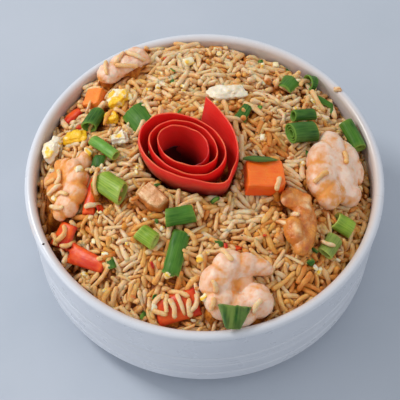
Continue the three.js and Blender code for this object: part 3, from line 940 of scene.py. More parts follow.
@dataclass
class Chunk(Topping):
    """A knife-cut piece: a slab with one corner sliced off, its edges worn round."""

    size: tuple[float, float, float] = (12.0, 10.0, 8.0)
    slice: float = 0.25
    draw: float = 0.12
    worn: float = 0.7
    uneven: float = 0.2
    shaded: float = 0.5
    longest_edge: float = 1.1

    def shape(self) -> Shape:
        """Bevels and roughens the cut block.

        Returns:
            The piece in its own frame.
        """
        hx, hy, hz = (side / 2 for side in self.size)
        short = 1 - 2 * self.slice
        outline = [(-hx, -hy), (hx * short, -hy), (hx, -hy * short), (hx * 0.96, hy), (-hx * 0.94, hy * 0.97)]
        block = bmesh.new()
        rings = []
        for z, scale in ((-hz, 1.0), (hz, 1 - self.draw)):
            rings.append([block.verts.new((x * scale, y * scale, z)) for x, y in outline])
        block.faces.new(rings[0][::-1])
        block.faces.new(rings[1])
        for i, j in zip(range(5), (1, 2, 3, 4, 0)):
            block.faces.new((rings[0][i], rings[0][j], rings[1][j], rings[1][i]))
        edges = list(block.edges)
        bmesh.ops.bevel(block, geom=edges, offset=self.worn, segments=3, profile=0.5, affect="EDGES")
        bmesh.ops.triangulate(block, faces=block.faces)
        for _ in range(6):
            long_edges = [edge for edge in block.edges if edge.calc_length() > self.longest_edge]
            if not long_edges:
                break
            bmesh.ops.subdivide_edges(block, edges=long_edges, cuts=1)
            bmesh.ops.triangulate(block, faces=block.faces)
        points, faces = in_order(*unpack(block))
        # Painted shade: the lower sides take the darker tint by the share shaded, with blotches adding some
        # at random.
        side = 1 - smoothstep(points[:, 2], 0, hz - self.worn)
        blotch = 0.5 + 0.5 * rough(points, 7, self.seed)
        tint = np.clip(self.shaded * (side + 0.7 * blotch - 0.2), 0, 1)
        body = Shape(points, faces, {"tint": tint, "lay": lay_map(points[:, 1], points[:, 0], points[:, 2])})
        body = body.roughened(5, self.uneven * 2, self.seed)
        return body.roughened(1.5, self.uneven * 0.5, self.seed + 4, 2)


@dataclass
class Stem(Topping):
    """A cut length of hollow stem, squashed a little, with ribs along its skin."""

    length: float = 12.0
    radius: float = 4.0
    squash: float = 0.85
    skin: float = 1.1
    bow: float = 0.4
    slant: float = 0.12
    layers: int = 1
    steps: int = 22

    def tube(self, radius: float, skin: float, length: float) -> Shape:
        """Sweeps one hollow tube.

        Args:
            radius: Outer radius.
            skin: Wall thickness.
            length: Length.

        Returns:
            The tube, lying along X.
        """
        half, seed = length / 2, self.seed
        run = np.linspace(-half, half, self.steps)
        turn = np.linspace(0, np.pi, 5)[1:-1]
        lip_x, lip_r = np.sin(turn) * skin * 0.4, np.cos(turn) * skin / 2
        middle = radius - skin / 2
        outside, inside = np.full(self.steps, radius), np.full(self.steps, radius - skin)
        x = np.concatenate([run, half + lip_x, run[::-1], -half - lip_x])
        r = np.concatenate([outside, middle + lip_r, inside, middle - lip_r])
        inner = np.repeat([0, 0.9, 1, 0.9], [self.steps, 3, self.steps, 3])
        a = np.linspace(0, 2 * np.pi, 44, endpoint=False) - np.pi / 2
        ribs = 1 + 0.014 * np.cos(15 * a) + 0.03 * np.cos(2 * a + seed) + 0.02 * np.cos(3 * a - seed)
        y = r[:, None] * np.cos(a) * ribs
        z = r[:, None] * np.sin(a) * ribs * self.squash
        dent = np.exp(-(((x - 0.25 * half * math.sin(seed)) / (0.5 * half)) ** 2))
        z = z * (1 - 0.1 * dent[:, None] * (np.sin(a) > 0))
        xx = x[:, None] + self.slant * (y * math.cos(seed) + z * math.sin(seed)) * (x / half)[:, None] ** 3
        z = z + self.bow * (1 - (x[:, None] / half) ** 2)
        lay = lay_map(np.broadcast_to(a * radius, y.shape), xx, seed)
        ends = 0.25 * smoothstep(np.abs(x), 0.6 * half, half)
        tint = np.broadcast_to(np.clip(inner + ends, 0, 1)[:, None] * 0.85, y.shape)
        skinned = loft(np.stack([xx, y, z], -1), {"tint": tint, "lay": lay}, hollow=True)
        return skinned.roughened(4, 0.18, seed)

    def shape(self) -> Shape:
        """Nests the stem's layers.

        Returns:
            The stem in its own frame.
        """
        tubes = [self.tube(self.radius, self.skin, self.length)]
        for layer in range(1, self.layers):
            radius = self.radius - layer * (self.skin + 0.35)
            tubes.append(self.tube(radius, self.skin * 0.75, self.length * 0.97))
        return join(tubes)


@dataclass
class Ribbon(Topping):
    """A leaf or strip lying flat: domed across, bowed along, with torn ends."""

    length: float = 12.0
    width: float = 8.0
    thick: float = 1.3
    dome: float = 1.0
    taper: float = 0.0
    bow: float = 0.5
    torn: float = 0.4
    wave: float = 0.3
    rim: float = 0.6
    point: float = 0.0
    stations: int = 40
    across: int = 15

    def shape(self) -> Shape:
        """Lofts rounded sections along the strip.

        Returns:
            The strip in its own frame.
        """
        u = np.linspace(-1, 1, self.stations)[:, None]
        v = np.linspace(-1, 1, self.across)
        side = np.concatenate([v, v[-2:0:-1]])
        upper = np.concatenate([np.ones(self.across), -np.ones(self.across - 2)])
        edge = np.sqrt(np.clip(1 - np.abs(side) ** 6, 0, 1))
        width = self.width / 2 * (1 - self.taper * (u + 1) / 2) * (1 - self.point * u**2)
        zero = np.zeros(len(side))
        far = rough(np.stack([zero, side * 3, zero], -1), 1.0, self.seed, 2)
        close = rough(np.stack([side * 3, zero + 1, zero], -1), 1.0, self.seed + 1, 2)
        pull = np.where(u > 0, far[None], close[None]) * np.abs(u) ** 8
        x = u * self.length / 2 + self.torn * pull * np.sign(u)
        y = width * side[None]
        body = np.sqrt(np.clip(1 - np.abs(u) ** 16, 0.08, 1))
        z = self.thick / 2 * upper * edge * body - self.dome * side[None] ** 2
        z = z + self.bow * (0.5 - u**2)
        z = z + self.wave * np.sin(2.3 * u + self.seed) * side[None]
        rim = smoothstep(np.maximum(np.abs(side)[None], np.abs(u)), 0.9, 1.0)
        tint = np.clip(np.maximum(rim * self.rim, (upper < 0)[None] * 0.5), 0, 1)
        made = loft(np.stack([x, y, z], -1), {"tint": tint, "lay": lay_map(y, x, self.seed)})
        return made.roughened(4, 0.22, self.seed).roughened(1.2, 0.05, self.seed + 3)


@dataclass
class Rose:
    """The rose rolled from one strip of peel: an oval coil whose outer end is a loose petal."""

    place: tuple[float, float, float] = (-9.5, 2.0, 77.5)
    strip: float = 13.5
    turns: float = 3.92
    per_turn: int = 54
    outer: float = 27.2
    pitch: float = 4.9
    oval: float = 0.725
    long_axis: float = -32.0
    start: float = 99.0
    flare: float = 13.5
    flare_turn: float = 0.085
    fold: float = 3.6
    fold_turn: float = 0.335
    fold_width: float = 0.045
    skin: float = 1.5
    belly: float = 1.0
    bedded: float = 2.5
    heart: float = 12.0
    heart_turn: float = 2.2
    tight_turn: float = 2.62
    tight_pitch: float = 2.4
    lean: float = 2.8

    def coil(self, turn: np.ndarray, share: np.ndarray, out: np.ndarray) -> np.ndarray:
        """Finds points of the strip, which leans outward and goes deeper towards the heart.

        Args:
            turn: How many turns in from the outer end.
            share: Place up the strip's width, 0 to 1.
            out: Distance out from the strip's middle layer.

        Returns:
            The points in the part's frame.
        """
        angle = math.radians(self.start) - 2 * np.pi * turn
        flare = self.flare * np.exp(-turn / self.flare_turn)
        fold = self.fold * np.exp(-(((turn - self.fold_turn) / self.fold_width) ** 2))
        tight = np.maximum(0, turn - self.tight_turn)
        half = self.outer - self.pitch * (turn - tight) - self.tight_pitch * tight
        half = half + fold + flare * (0.4 + 0.6 * share)
        inward = smoothstep(turn, self.heart_turn - 0.4, self.heart_turn + 0.4)
        waver = 0.45 * np.sin(9.1 * turn + 1.0) * share + 0.25 * np.sin(23 * turn) * share**2
        lean = (self.lean + 2.4 * inward) * (1 - share) ** 1.15
        bulge = out + waver + self.belly * 4 * share * (1 - share) - lean
        x = (half + bulge) * np.cos(angle)
        y = (half * self.oval + bulge) * np.sin(angle)
        ragged = 0.4 * np.sin(13 * turn + 0.5) + 0.3 * np.sin(31 * turn) + 0.2 * np.sin(77 * turn)
        below = self.bedded + (self.heart - self.bedded) * inward
        sunk = 15.0 * smoothstep(turn, self.turns - 0.7, self.turns)
        z = share * (self.strip + ragged + below - sunk) - below
        c, s = math.cos(math.radians(self.long_axis)), math.sin(math.radians(self.long_axis))
        return np.stack([c * x - s * y, s * x + c * y, z], -1) + np.array(self.place)

    def build(self, effects: Effects) -> Shape:
        """Makes the rose.

        Args:
            effects: The shared shader groups.

        Returns:
            The bed that it fills, for the grains to rest against.
        """
        up = 0.985 * np.sin(np.linspace(0, np.pi / 2, 16)) ** 0.8
        half = self.skin / 2 * (1 - 0.6 * up**3)
        lip = np.linspace(0, np.pi, 5)[1:-1]
        section = np.concatenate([up, 0.985 + 0.015 * np.sin(lip), up[::-1]])
        out = np.concatenate([half, half[-1] * np.cos(lip), -half[::-1]])
        along = np.linspace(0, self.turns, round(self.turns * self.per_turn))
        turn, share = np.meshgrid(along, section, indexing="ij")
        edge = smoothstep(share, 0.974, 0.996)
        worn = 0.6 + 0.4 * np.sin(40 * turn) * np.sin(17 * turn + 1)
        inside = np.broadcast_to((out < 0) * 1.0, turn.shape)
        below = 1 - share
        # Painted shade: darker low on the inner turns, near black in the heart, and at the foot of each
        # layer, most on the outer faces.
        deep = smoothstep(turn, 1.7, 2.6) * smoothstep(below, 0.3, 0.9)
        deep = np.maximum(deep, smoothstep(turn, 3.0, 3.6))
        masks = {
            "tint": np.clip(edge * worn, 0, 1) * (1 - smoothstep(turn, 2.9, 3.3)),
            "lay": lay_map(share * self.strip, turn * 2 * np.pi * self.outer, inside),
            "deep": np.maximum(deep, (0.8 - 0.55 * inside) * smoothstep(below, 0.06, 0.6 + 0.3 * inside)),
        }
        body = loft(self.coil(turn, share, np.broadcast_to(out, turn.shape)), masks)
        body = body.roughened(7, 0.25, 4).roughened(1.8, 0.05, 9)
        make_piece("peel_rose_petals", body, PEEL.material(effects), "peel_rose")
        ring = np.linspace(0, 1, 40, endpoint=False)
        bed = [self.coil(ring, np.full(40, share), np.full(40, self.skin)) for share in (0.0, 0.5, 0.95)]
        bed[0][:, 2] -= 5
        return loft(np.stack(bed), {})


# ---- The bowl ----


@dataclass
class Bowl:
    """The round stoneware bowl: a turned wall with a proud lip and grooves below it.

    Each groove is a height and a depth. The smears are places on the lip.
    """

    radius: float = 90.0
    height: float = 66.0
    wall: float = 5.2
    lip_band: float = 3.0
    lip_proud: float = 0.6
    outer_taper: float = 0.036
    inner_taper: float = 0.04
    floor: float = 7.0
    foot: float = 2.0
    foot_radii: tuple[float, float] = (60.0, 67.0)
    corners: tuple[float, float] = (16.0, 14.0)
    grooves: tuple[tuple, ...] = ((40, 0.6), (34.6, 0.24), (31.4, 0.4), (22, 0.5), (16, 0.24))
    groove_width: float = 0.55
    segments: int = 320
    smears: tuple[tuple, ...] = (
        (-84.6, -22, 62), (-84.2, -29, 63), (84.6, -11, 62.5), (84.8, -4, 61), (83, 16, 61),
    )

    def outer(self, z: float) -> float:
        """Gives the outer wall's radius at a height."""
        return self.radius - self.lip_proud - self.outer_taper * (self.height - self.lip_band - z)

    def inner(self, z: np.ndarray) -> np.ndarray:
        """Gives the inner wall's radius at a height."""
        return self.radius - self.wall - self.inner_taper * (self.height - z)

    def profile(self) -> np.ndarray:
        """Draws the section from the underside's middle, up the outside and down the inside.

        Returns:
            Rows of radius and height.
        """
        foot_in, foot_out = self.foot_radii
        points = [(0, 1.0), (foot_in * 0.5, 1.0), (foot_in - 0.6, 1.0), (foot_in + 0.6, 0.3)]
        points += [(foot_in + 1.2, 0), (foot_out - 0.6, 0), (foot_out, 0.3), (foot_out + 0.6, 1.5)]
        points += [(foot_out + 1.4, self.foot)]
        turn, back = self.corners
        top = self.foot + turn
        points += bend((self.outer(top) - turn, top), turn, -88, 0, 14)
        for z, depth in sorted(self.grooves):
            for step in np.linspace(-1.4, 1.4, 9):
                cut = depth * math.exp(-((step / self.groove_width) ** 2))
                points.append((self.outer(z + step) - cut, z + step))
        shoulder = self.height - self.lip_band
        points += [(self.outer(z), z) for z in np.linspace(46, shoulder - 1.6, 8)]
        points += [(self.outer(shoulder) + 0.1, shoulder - 0.8), (self.radius - 0.35, shoulder - 0.1)]
        lip = self.wall / 2
        points += bend((self.radius - lip, self.height - lip), lip, 2, 178, 17)
        top = self.floor + back
        points += [(float(self.inner(z)), z) for z in np.linspace(self.height - 3.4, top, 16)]
        points += bend((float(self.inner(top)) - back, top), back, -4, -88, 10)
        points += [(50, self.floor), (25, self.floor), (0, self.floor)]
        return np.array(points, float)

    def build(self, effects: Effects) -> None:
        """Turns the section round the axis and stains the lip where food touched it, with a painted
        warm reflection from the food on the upper inner wall and painted shade on the lip.

        Args:
            effects: The shared shader groups.
        """
        inside, around = self.profile()[1:-1], np.linspace(0, 2 * np.pi, self.segments, endpoint=False)
        r, z = inside[:, :1], np.repeat(inside[:, 1:], self.segments, 1)
        points = np.stack([r * np.cos(around), r * np.sin(around), z], -1)
        flat = points.reshape(-1, 3)
        tint = np.zeros(len(flat))
        for spot in self.smears:
            gap = np.linalg.norm((flat - np.array(spot)) / np.array((4.0, 4.5, 2.6)), axis=1)
            tint = np.maximum(tint, 0.5 * np.exp(-(gap**2)))
        tint = tint * np.clip(0.75 + 0.9 * rough(flat, 2.2, 5, 2), 0, 1)
        inward = 1 - smoothstep(np.hypot(flat[:, 0], flat[:, 1]), self.radius - 4.5, self.radius - 1.0)
        # Painted reflection: warm light from the food on the upper inner wall and the rim's inner side.
        tint = np.maximum(tint, 0.2 * inward * smoothstep(flat[:, 2], 45, 56))
        # Painted shade: the inner side of the lip darker, most at the left and right.
        lip = inward * smoothstep(flat[:, 2], 60, 64.5) * (0.16 + 0.26 * np.abs(flat[:, 0]) / self.radius)
        masks = {"tint": np.maximum(tint, lip).reshape(z.shape)}
        make_piece("bowl_glazed", loft(points, masks), GLAZE.material(effects), "bowl", 35)


# ---- The rice ----


class Obstacles:
    """The toppings that the grains lie round."""

    def __init__(self, shapes: list[Shape]) -> None:
        """Gathers the shapes into one search tree."""
        bare = join([Shape(shape.points, shape.faces) for shape in shapes])
        self.tree = BVHTree.FromPolygons(bare.points.tolist(), bare.faces)

    def top(self, x: float, y: float) -> float:
        """Gives the height of the topmost topping at a place, or 0."""
        spot = self.tree.ray_cast(Vector((x, y, SKY)), DOWN)[0]
        return spot.z if spot else 0.0

    def blocks(self, point: np.ndarray, slack: float) -> bool:
        """Tells whether a point is in a topping or on top of one.

        Args:
            point: The place.
            slack: How far under a topping's top a place is free again.

        Returns:
            True if no grain may start there.
        """
        top = self.top(point[0], point[1])
        if top and point[2] > top - slack:
            return True
        spot, normal, _, _ = self.tree.find_nearest(Vector(point))
        return (Vector(point) - spot).dot(normal) < 0

    def clear(self, points: np.ndarray, radii: np.ndarray, reach: float) -> np.ndarray:
        """Moves points out of the toppings.

        Args:
            points: The places.
            radii: How far each has to stay from a topping.
            reach: How far a topping is looked for.

        Returns:
            The moved places, and how far each is from a topping, as one array of four columns.
        """
        made = np.column_stack([points, np.full(len(points), reach)])
        for row, (point, radius) in enumerate(zip(points, radii)):
            here = Vector(point)
            spot, normal, _, gap = self.tree.find_nearest(here, reach)
            if spot is None:
                continue
            made[row, 3] = gap
            if (here - spot).dot(normal) < 0:
                made[row, :3] = spot + normal * radius
            elif gap < radius:
                made[row, :3] = spot + (here - spot) * (radius / max(gap, 1e-6))
        return made


@dataclass(frozen=True)
class Laid:
    """A listed grain put on top of a topping: its middle, direction in degrees and length."""

    x: float
    y: float
    yaw: float
    length: float
    bow: float = 0.6


LAID = tuple(Laid(*row) for row in (
    (-21.5, -68, 64, 12, 1.2), (-22.5, -75.5, 118, 10), (-3, -67.5, 128, 11, 1), (-1.6, -76, 70, 9),
    (-13, -66.6, 14, 13, 1), (70.5, 6, 100, 8), (76.4, -4.6, 50, 8, 1), (56.4, -9.6, 40, 9),
    (-62.8, -28.4, 150, 10), (-48.4, -46.8, 70, 9), (-58.6, -53.8, 160, 10), (-18.5, -72, 96, 9),
    (-15.2, -74.5, 78, 10, 1), (-11.5, -73, 100, 11), (-7.6, -74.5, 84, 9), (-4.4, -72, 70, 9, 1),
    (-9.5, -78.5, 60, 8), (-16.8, -79.6, 110, 8, 1.2), (-70, -32.5, 52, 9, 1.4), (-66.5, -36.8, 60, 9, 0.9),
    (-71, -38, 66, 8), (-73.5, -34, 60, 6), (-53.8, -12, 84, 12), (-54.4, -20, 96, 10),
    (-49.8, -19.6, 128, 11), (-47.2, -25.4, 118, 9), (9.8, -52.6, 152, 11), (29.4, -64.6, 138, 15, 2.4),
    (4.6, -68, 80, 6), (3.4, -75.8, 96, 7), (43.4, -29.2, 122, 7, 0.2), (35.6, -15.8, 42, 8),
    (39.2, -12, 30, 6), (30.6, -19.8, 10, 9, 1.6), (79, -8.5, 96, 7), (77.4, -14.6, 70, 7),
    (75.6, -18.5, 116, 6),
    (79.4, -1.4, 80, 6), (72.6, -19.6, 30, 7), (-79.4, -9.6, 70, 8), (-76, -16.4, 20, 8), (-73, -20.4, 8, 9),
    (-77.2, -4.6, 50, 7), (62.8, 52.4, 106, 11, 2.6), (46.6, 62.2, 160, 9, 1.2), (51.6, 58.2, 66, 8),
    (-63.4, -48.2, 150, 9), (-52.4, -41.4, 140, 9, 1.2), (59.6, -41.2, 24, 7), (-44, 64.5, 30, 10),
    (-36, 65.5, 150, 11, 1.4), (-51, 58.5, 80, 9), (-40, 60, 8, 12), (-33.5, 61.5, 60, 9),
    (-72.5, -3.5, 35, 9), (-74.5, -9.5, 15, 9, 1), (-70.5, -13.5, 40, 8), (3.6, 47.5, 24, 11, 1),
    (19.6, 39.8, 152, 10), (1.5, -79, 152, 8), (-1.5, -81, 12, 7), (-31, -75.5, 38, 10), (-34, -73, 112, 8),
    (24, -76, 60, 8),
))


class Tone(Enum):
    """The kinds of grain, each one piece."""

    PALE = "grains_pale"
    CREAM = "grains_cream"
    GOLDEN = "grains_golden"
    TOASTED = "grains_toasted"
    BROKEN = "grains_broken"


FINISH_OF = dict(zip(Tone, (RICE_PALE, RICE_CREAM, RICE_GOLDEN, RICE_TOASTED, RICE_CREAM)))


@dataclass
class Pile:
    """Loose grains over the core, laid in layers and then settled against each other.

    Each grain is a row of beads. The map of crests reaches as far from the middle as extent. No
    grain starts less than slack below a topping's top, and beads look for toppings as far as felt.
    In each round loose grains fall fast at first and slowly later, and the listed ones by the last
    of the three. Pairs and toppings are looked up every few rounds.
    """

    obstacles: Obstacles
    bowl: Bowl
    depth: float = 7.0
    layers: int = 4
    per_layer: int = 1060
    beads: int = 6
    reach: float = 83.0
    sink: float = 0.78
    seed: int = 6
    rounds: int = 160
    square: float = 1.6
    extent: float = 100.0
    clumps: int = 700
    loners: float = 0.42
    broken: float = 6.0
    laid_radius: float = 1.26
    contact: float = 3.4
    slack: float = 3.4
    felt: float = 4.5
    falls: tuple[float, float, float] = (0.12, 0.03, 0.09)
    calm_from: float = 0.55
    pairs_every: int = 4
    toppings_every: int = 6
    # Depths below the tops over which grains take sauce colour with painted shade.
    soaked_and_shaded: tuple[float, float] = (1.1, 4.4)
    tones: tuple[float, ...] = (-0.1, 0.32, 0.7)
    # How much painted shade darkens the grains' sides and undersides.
    side_shade: float = 0.55
    stations: tuple[float, ...] = (-1, -0.985, -0.92, -0.74, -0.4, 0, 0.4, 0.74, 0.92, 0.985, 1)
    sides: int = 8

    def lay(self) -> None:
        """Lays the grains in layers, most in small clumps that point the same way."""
        rng = np.random.default_rng(self.seed)
        count = self.layers * self.per_layer
        order = np.arange(count)
        ring = self.reach * np.sqrt((order * 0.7548776662 + 0.31) % 1)
        turn = 2 * np.pi * ((order * 0.5698402910 + 0.67) % 1)
        x, y = ring * np.cos(turn), ring * np.sin(turn)
        level = (order % self.layers + 0.5 + rng.uniform(-0.3, 0.3, count)) / self.layers
        z = HEAP.lumpy(x, y) - self.depth * (1 - level) + 0.6
        seeds = rng.uniform(-self.reach, self.reach, (self.clumps, 2))
        clump = np.hypot(x[:, None] - seeds[:, 0], y[:, None] - seeds[:, 1]).argmin(1)
        loner = rng.random(count) < self.loners
        turned = rng.uniform(0, 2 * np.pi, self.clumps)[clump] + rng.normal(0, 0.36, count)
        yaw = np.where(loner, rng.uniform(0, 2 * np.pi, count), turned)
        raised = rng.normal(0, 0.3, self.clumps)[clump] + rng.normal(0, 0.2, count)
        tilt = np.where(loner, rng.uniform(-0.8, 0.8, count), raised)
        length = np.clip(rng.normal(13.4, 2.4, count), self.broken, 18.5)
        short = rng.random(count) < 0.08
        length = np.where(short, rng.uniform(3.4, self.broken, count), length)
        bow = np.abs(rng.normal(0, 0.45, count)) + 1.5 * (rng.random(count) < 0.12)
        bow = bow * (length / 10) ** 2
        radius = rng.uniform(1.16, 1.48, count)
        hue = np.random.default_rng(self.seed + 9).normal(0, 0.3, self.clumps)[clump]
        loose = (x, y, z, yaw, tilt, bow, length, radius, hue, np.ones(count, bool))
        laid = [(one.x, one.y, self.over(one.x, one.y) + 2.0, float(np.radians(one.yaw)), 0, one.bow,
                 one.length, self.laid_radius, 0, False) for one in LAID]
        x, y, z, yaw, tilt, bow, *kept = (np.append(*pair) for pair in zip(loose, zip(*laid)))
        self.length, self.radius, self.hue, self.free = kept
        self.half = np.maximum(self.length / 2 - self.radius, 0.4)
        self.string(np.stack([x, y, z], -1), yaw, tilt, bow, rng)

    def over(self, x: float, y: float) -> float:
        """Gives the height of the toppings or the rice at a place."""
        return max(self.obstacles.top(x, y), float(HEAP.height(x, y)))

    def string(self, middle: np.ndarray, yaw: np.ndarray, tilt: np.ndarray, bow: np.ndarray,
               rng: np.random.Generator) -> None:
        """Strings each grain's beads along its middle line and drops the grains that hit a topping.

        Args:
            middle: Places of the grains.
            yaw: Directions in the level plane.
            tilt: Angles out of it.
            bow: How far the middle of each grain stands off its chord.
            rng: The source of chance.
        """
        x, y = middle[:, 0], middle[:, 1]
        slope_x = HEAP.height(x + 2, y) - HEAP.height(x - 2, y)
        slope_y = HEAP.height(x, y + 2) - HEAP.height(x, y - 2)
        rise = (slope_x * np.cos(yaw) + slope_y * np.sin(yaw)) / 4 + np.tan(tilt)
        along = unit(np.stack([np.cos(yaw), np.sin(yaw), rise], -1))
        side = unit(np.cross(along, unit(rng.normal(0, 1, (len(x), 3)) + np.array([0, 0, 1.5]))))
        share = np.linspace(-1, 1, self.beads)
        line = share[None, :, None] * self.half[:, None, None] * along[:, None]
        arch = (1 - share**2)[None, :, None] * bow[:, None, None] * side[:, None]
        self.points = middle[:, None] + line + arch
        keep, self.perched = ~self.free, ~self.free
        for row in np.flatnonzero(self.free):
            blocked = [self.obstacles.blocks(point, self.slack) for point in self.points[row]]
            keep[row] = sum(blocked) < 3 and not any(blocked[2:-2])
            self.perched[row] = any(blocked)
        for name in ("points", "free", "perched", "radius", "length", "half", "hue"):
            setattr(self, name, getattr(self, name)[keep])
        self.anchor = self.points.mean(1)[:, :2].copy()
        self.spans = [(a, a + gap) for gap in (1, 2, self.beads - 1) for a in range(self.beads - gap)]
        self.rest = [np.linalg.norm(self.points[:, b] - self.points[:, a], axis=1) for a, b in self.spans]

    def neighbours(self, places: np.ndarray, reach: float) -> tuple[np.ndarray, np.ndarray]:
        """Finds the beads of different grains that are close to each other.

        Args:
            places: Every bead's place.
            reach: How close counts.

        Returns:
            The numbers of the first and second bead of each pair.
        """
        cell = np.floor(places / reach).astype(np.int64)
        cell = cell - cell.min(0) + 1
        span = cell.max(0) + 2
        key = (cell[:, 0] * span[1] + cell[:, 1]) * span[2] + cell[:, 2]
        order = np.argsort(key, kind="stable")
        ranked = key[order]
        grain = np.arange(len(places)) // self.beads
        shifts = [(dx, dy, dz) for dx in (-1, 0, 1) for dy in (-1, 0, 1) for dz in (-1, 0, 1)]
        firsts, seconds = [], []
        for dx, dy, dz in shifts[len(shifts) // 2:]:
            other = key + (dx * span[1] + dy) * span[2] + dz
            low = np.searchsorted(ranked, other, "left")
            count = np.searchsorted(ranked, other, "right") - low
            one = np.repeat(np.arange(len(places)), count)
            start = np.repeat(low - np.concatenate([[0], np.cumsum(count)[:-1]]), count)
            two = order[np.arange(len(one)) + start]
            keep = grain[one] != grain[two]
            if (dx, dy, dz) == (0, 0, 0):
                keep &= one < two
            one, two = one[keep], two[keep]
            close = np.linalg.norm(places[one] - places[two], axis=1) < reach
            firsts.append(one[close])
            seconds.append(two[close])
        return np.concatenate(firsts), np.concatenate(seconds)

    def each_bead(self, values: np.ndarray) -> np.ndarray:
        """Repeats a value of each grain for its beads."""
        return np.repeat(values, self.beads)

    def settle(self) -> None:
        """Lets the grains sink and push each other apart until they lie at rest."""
        shape = self.points.shape
        size, loose = self.each_bead(self.radius * self.sink), self.each_bead(self.free)
        lying = self.each_bead(~self.perched)
        rng = np.random.default_rng(self.seed + 1)
        proud = self.each_bead(3.6 * rng.random(shape[0]) ** 2 - 0.2)
        rounds = self.rounds
        fast, slow, laid = self.falls
        near = np.arange(shape[0] * self.beads)
        for step in range(rounds):
            flat = self.points.reshape(-1, 3)
            fall = fast if step < rounds * self.calm_from else slow
            flat[:, 2] -= np.where(loose, fall, laid)
            if step % self.pairs_every == 0:
                one, two = self.neighbours(flat, self.contact)
            surface = HEAP.lumpy(flat[:, 0], flat[:, 1])
            above = lying & (flat[:, 2] > surface + proud)
            flat[above, 2] -= 0.3 * (flat[above, 2] - surface[above] - proud[above])
            self.part(flat, one, two, size)
            if step % self.toppings_every == 0:
                near = np.arange(len(flat))
            moved = self.obstacles.clear(flat[near], size[near], self.felt)
            flat[near] = moved[:, :3]
            near = near[moved[:, 3] < self.felt - 0.1]
            flat[:, 2] = np.maximum(flat[:, 2], surface - self.depth + size)
            ring = np.hypot(flat[:, 0], flat[:, 1])
            limit = self.bowl.inner(flat[:, 2]) - size
            flat[:, :2] *= np.minimum(1, limit / np.maximum(ring, 1e-6))[:, None]
            self.points = flat.reshape(shape)
            self.straighten()
            drift = self.points[~self.free].mean(1)[:, :2] - self.anchor[~self.free]
            self.points[~self.free, :, :2] -= drift[:, None]
        LOG.info("settled %d grains in %d rounds", shape[0], rounds)

    def part(self, flat: np.ndarray, one: np.ndarray, two: np.ndarray, size: np.ndarray) -> None:
        """Pushes overlapping beads apart, in place.

        Args:
            flat: Every bead's place.
            one: The first bead of each close pair.
            two: The second.
            size: Each bead's radius.
        """
        way = flat[two] - flat[one]
        gap = np.linalg.norm(way, axis=1)
        deep = size[one] + size[two] - gap
        hit = deep > 0
        one, two = one[hit], two[hit]
        push = way[hit] * (0.5 * deep[hit] / np.maximum(gap[hit], 1e-6))[:, None]
        count = np.bincount(one, minlength=len(flat)) + np.bincount(two, minlength=len(flat))
        for axis in range(3):
            change = np.bincount(two, push[:, axis], len(flat)) - np.bincount(one, push[:, axis], len(flat))
            flat[:, axis] += change / np.maximum(1, 0.65 * count)

    def straighten(self) -> None:
        """Brings each grain's beads back to their distances."""
        for (a, b), rest in [*zip(self.spans, self.rest)] * 2:
            way = self.points[:, b] - self.points[:, a]
            gap = np.maximum(np.linalg.norm(way, axis=1), 1e-6)
            shift = way * (0.5 * (gap - rest) / gap)[:, None]
            self.points[:, a] += shift
            self.points[:, b] -= shift

    def crests(self) -> np.ndarray:
        """Maps the height of the highest grain round each place, one number for each square.

        Returns:
            The heights, by square to the right and to the back.
        """
        flat = self.points.reshape(-1, 3)
        cell = ((flat[:, :2] + self.extent) / self.square).astype(int)
        middles = (np.arange(math.ceil(2 * self.extent / self.square)) + 0.5) * self.square - self.extent
        made = HEAP.lumpy(middles[:, None], middles[None]) - 4.5
        np.maximum.at(made, (cell[:, 0], cell[:, 1]), flat[:, 2] + self.each_bead(self.radius))
        for reduce in (np.max, np.mean):
            made = reduce([np.roll(made, (dx, dy), (0, 1)) for dx in (-1, 0, 1) for dy in (-1, 0, 1)], 0)
        return made

    def soak_and_shade(self, places: np.ndarray) -> np.ndarray:
        """Tells how deep under the grains' tops each place lies, from 0 at the top to 1 in the depths, for
        sauce colour and painted shade.
        """
        cell = ((places[:, :2] + self.extent) / self.square).astype(int)
        return smoothstep(self.crests()[cell[:, 0], cell[:, 1]] - places[:, 2], *self.soaked_and_shaded)

    def kinds(self) -> np.ndarray:
        """Picks each grain's kind, in patches as the sauce reached them, and darker towards the right and the
        front as painted shade.

        Returns:
            The number of each grain's kind in Tone's order.
        """
        rng = np.random.default_rng(self.seed + 2)
        middle = self.points.mean(1)
        sauce = rough(middle * np.array([1, 1, 0.3]), 15, 21, 2) + self.hue + rng.normal(0, 0.16, len(middle))
        # Painted shade: darker kinds towards the right and the front.
        sauce = sauce + 0.002 * middle[:, 0] - 0.004 * middle[:, 1]
        kind = np.where(self.length < self.broken, len(self.tones) + 1, np.digitize(sauce, self.tones))
        return np.where(self.free, kind, rng.integers(0, 2, len(kind)))

    def build(self, effects: Effects) -> None:
        """Makes one piece of each kind of grain.

        Args:
            effects: The shared shader groups.
        """
        kinds = self.kinds()
        for number, tone in enumerate(Tone):
            shape, chart = self.grains(np.flatnonzero(kinds == number))
            make_piece(tone.value, shape, FINISH_OF[tone].material(effects), sharp=180, chart=chart)

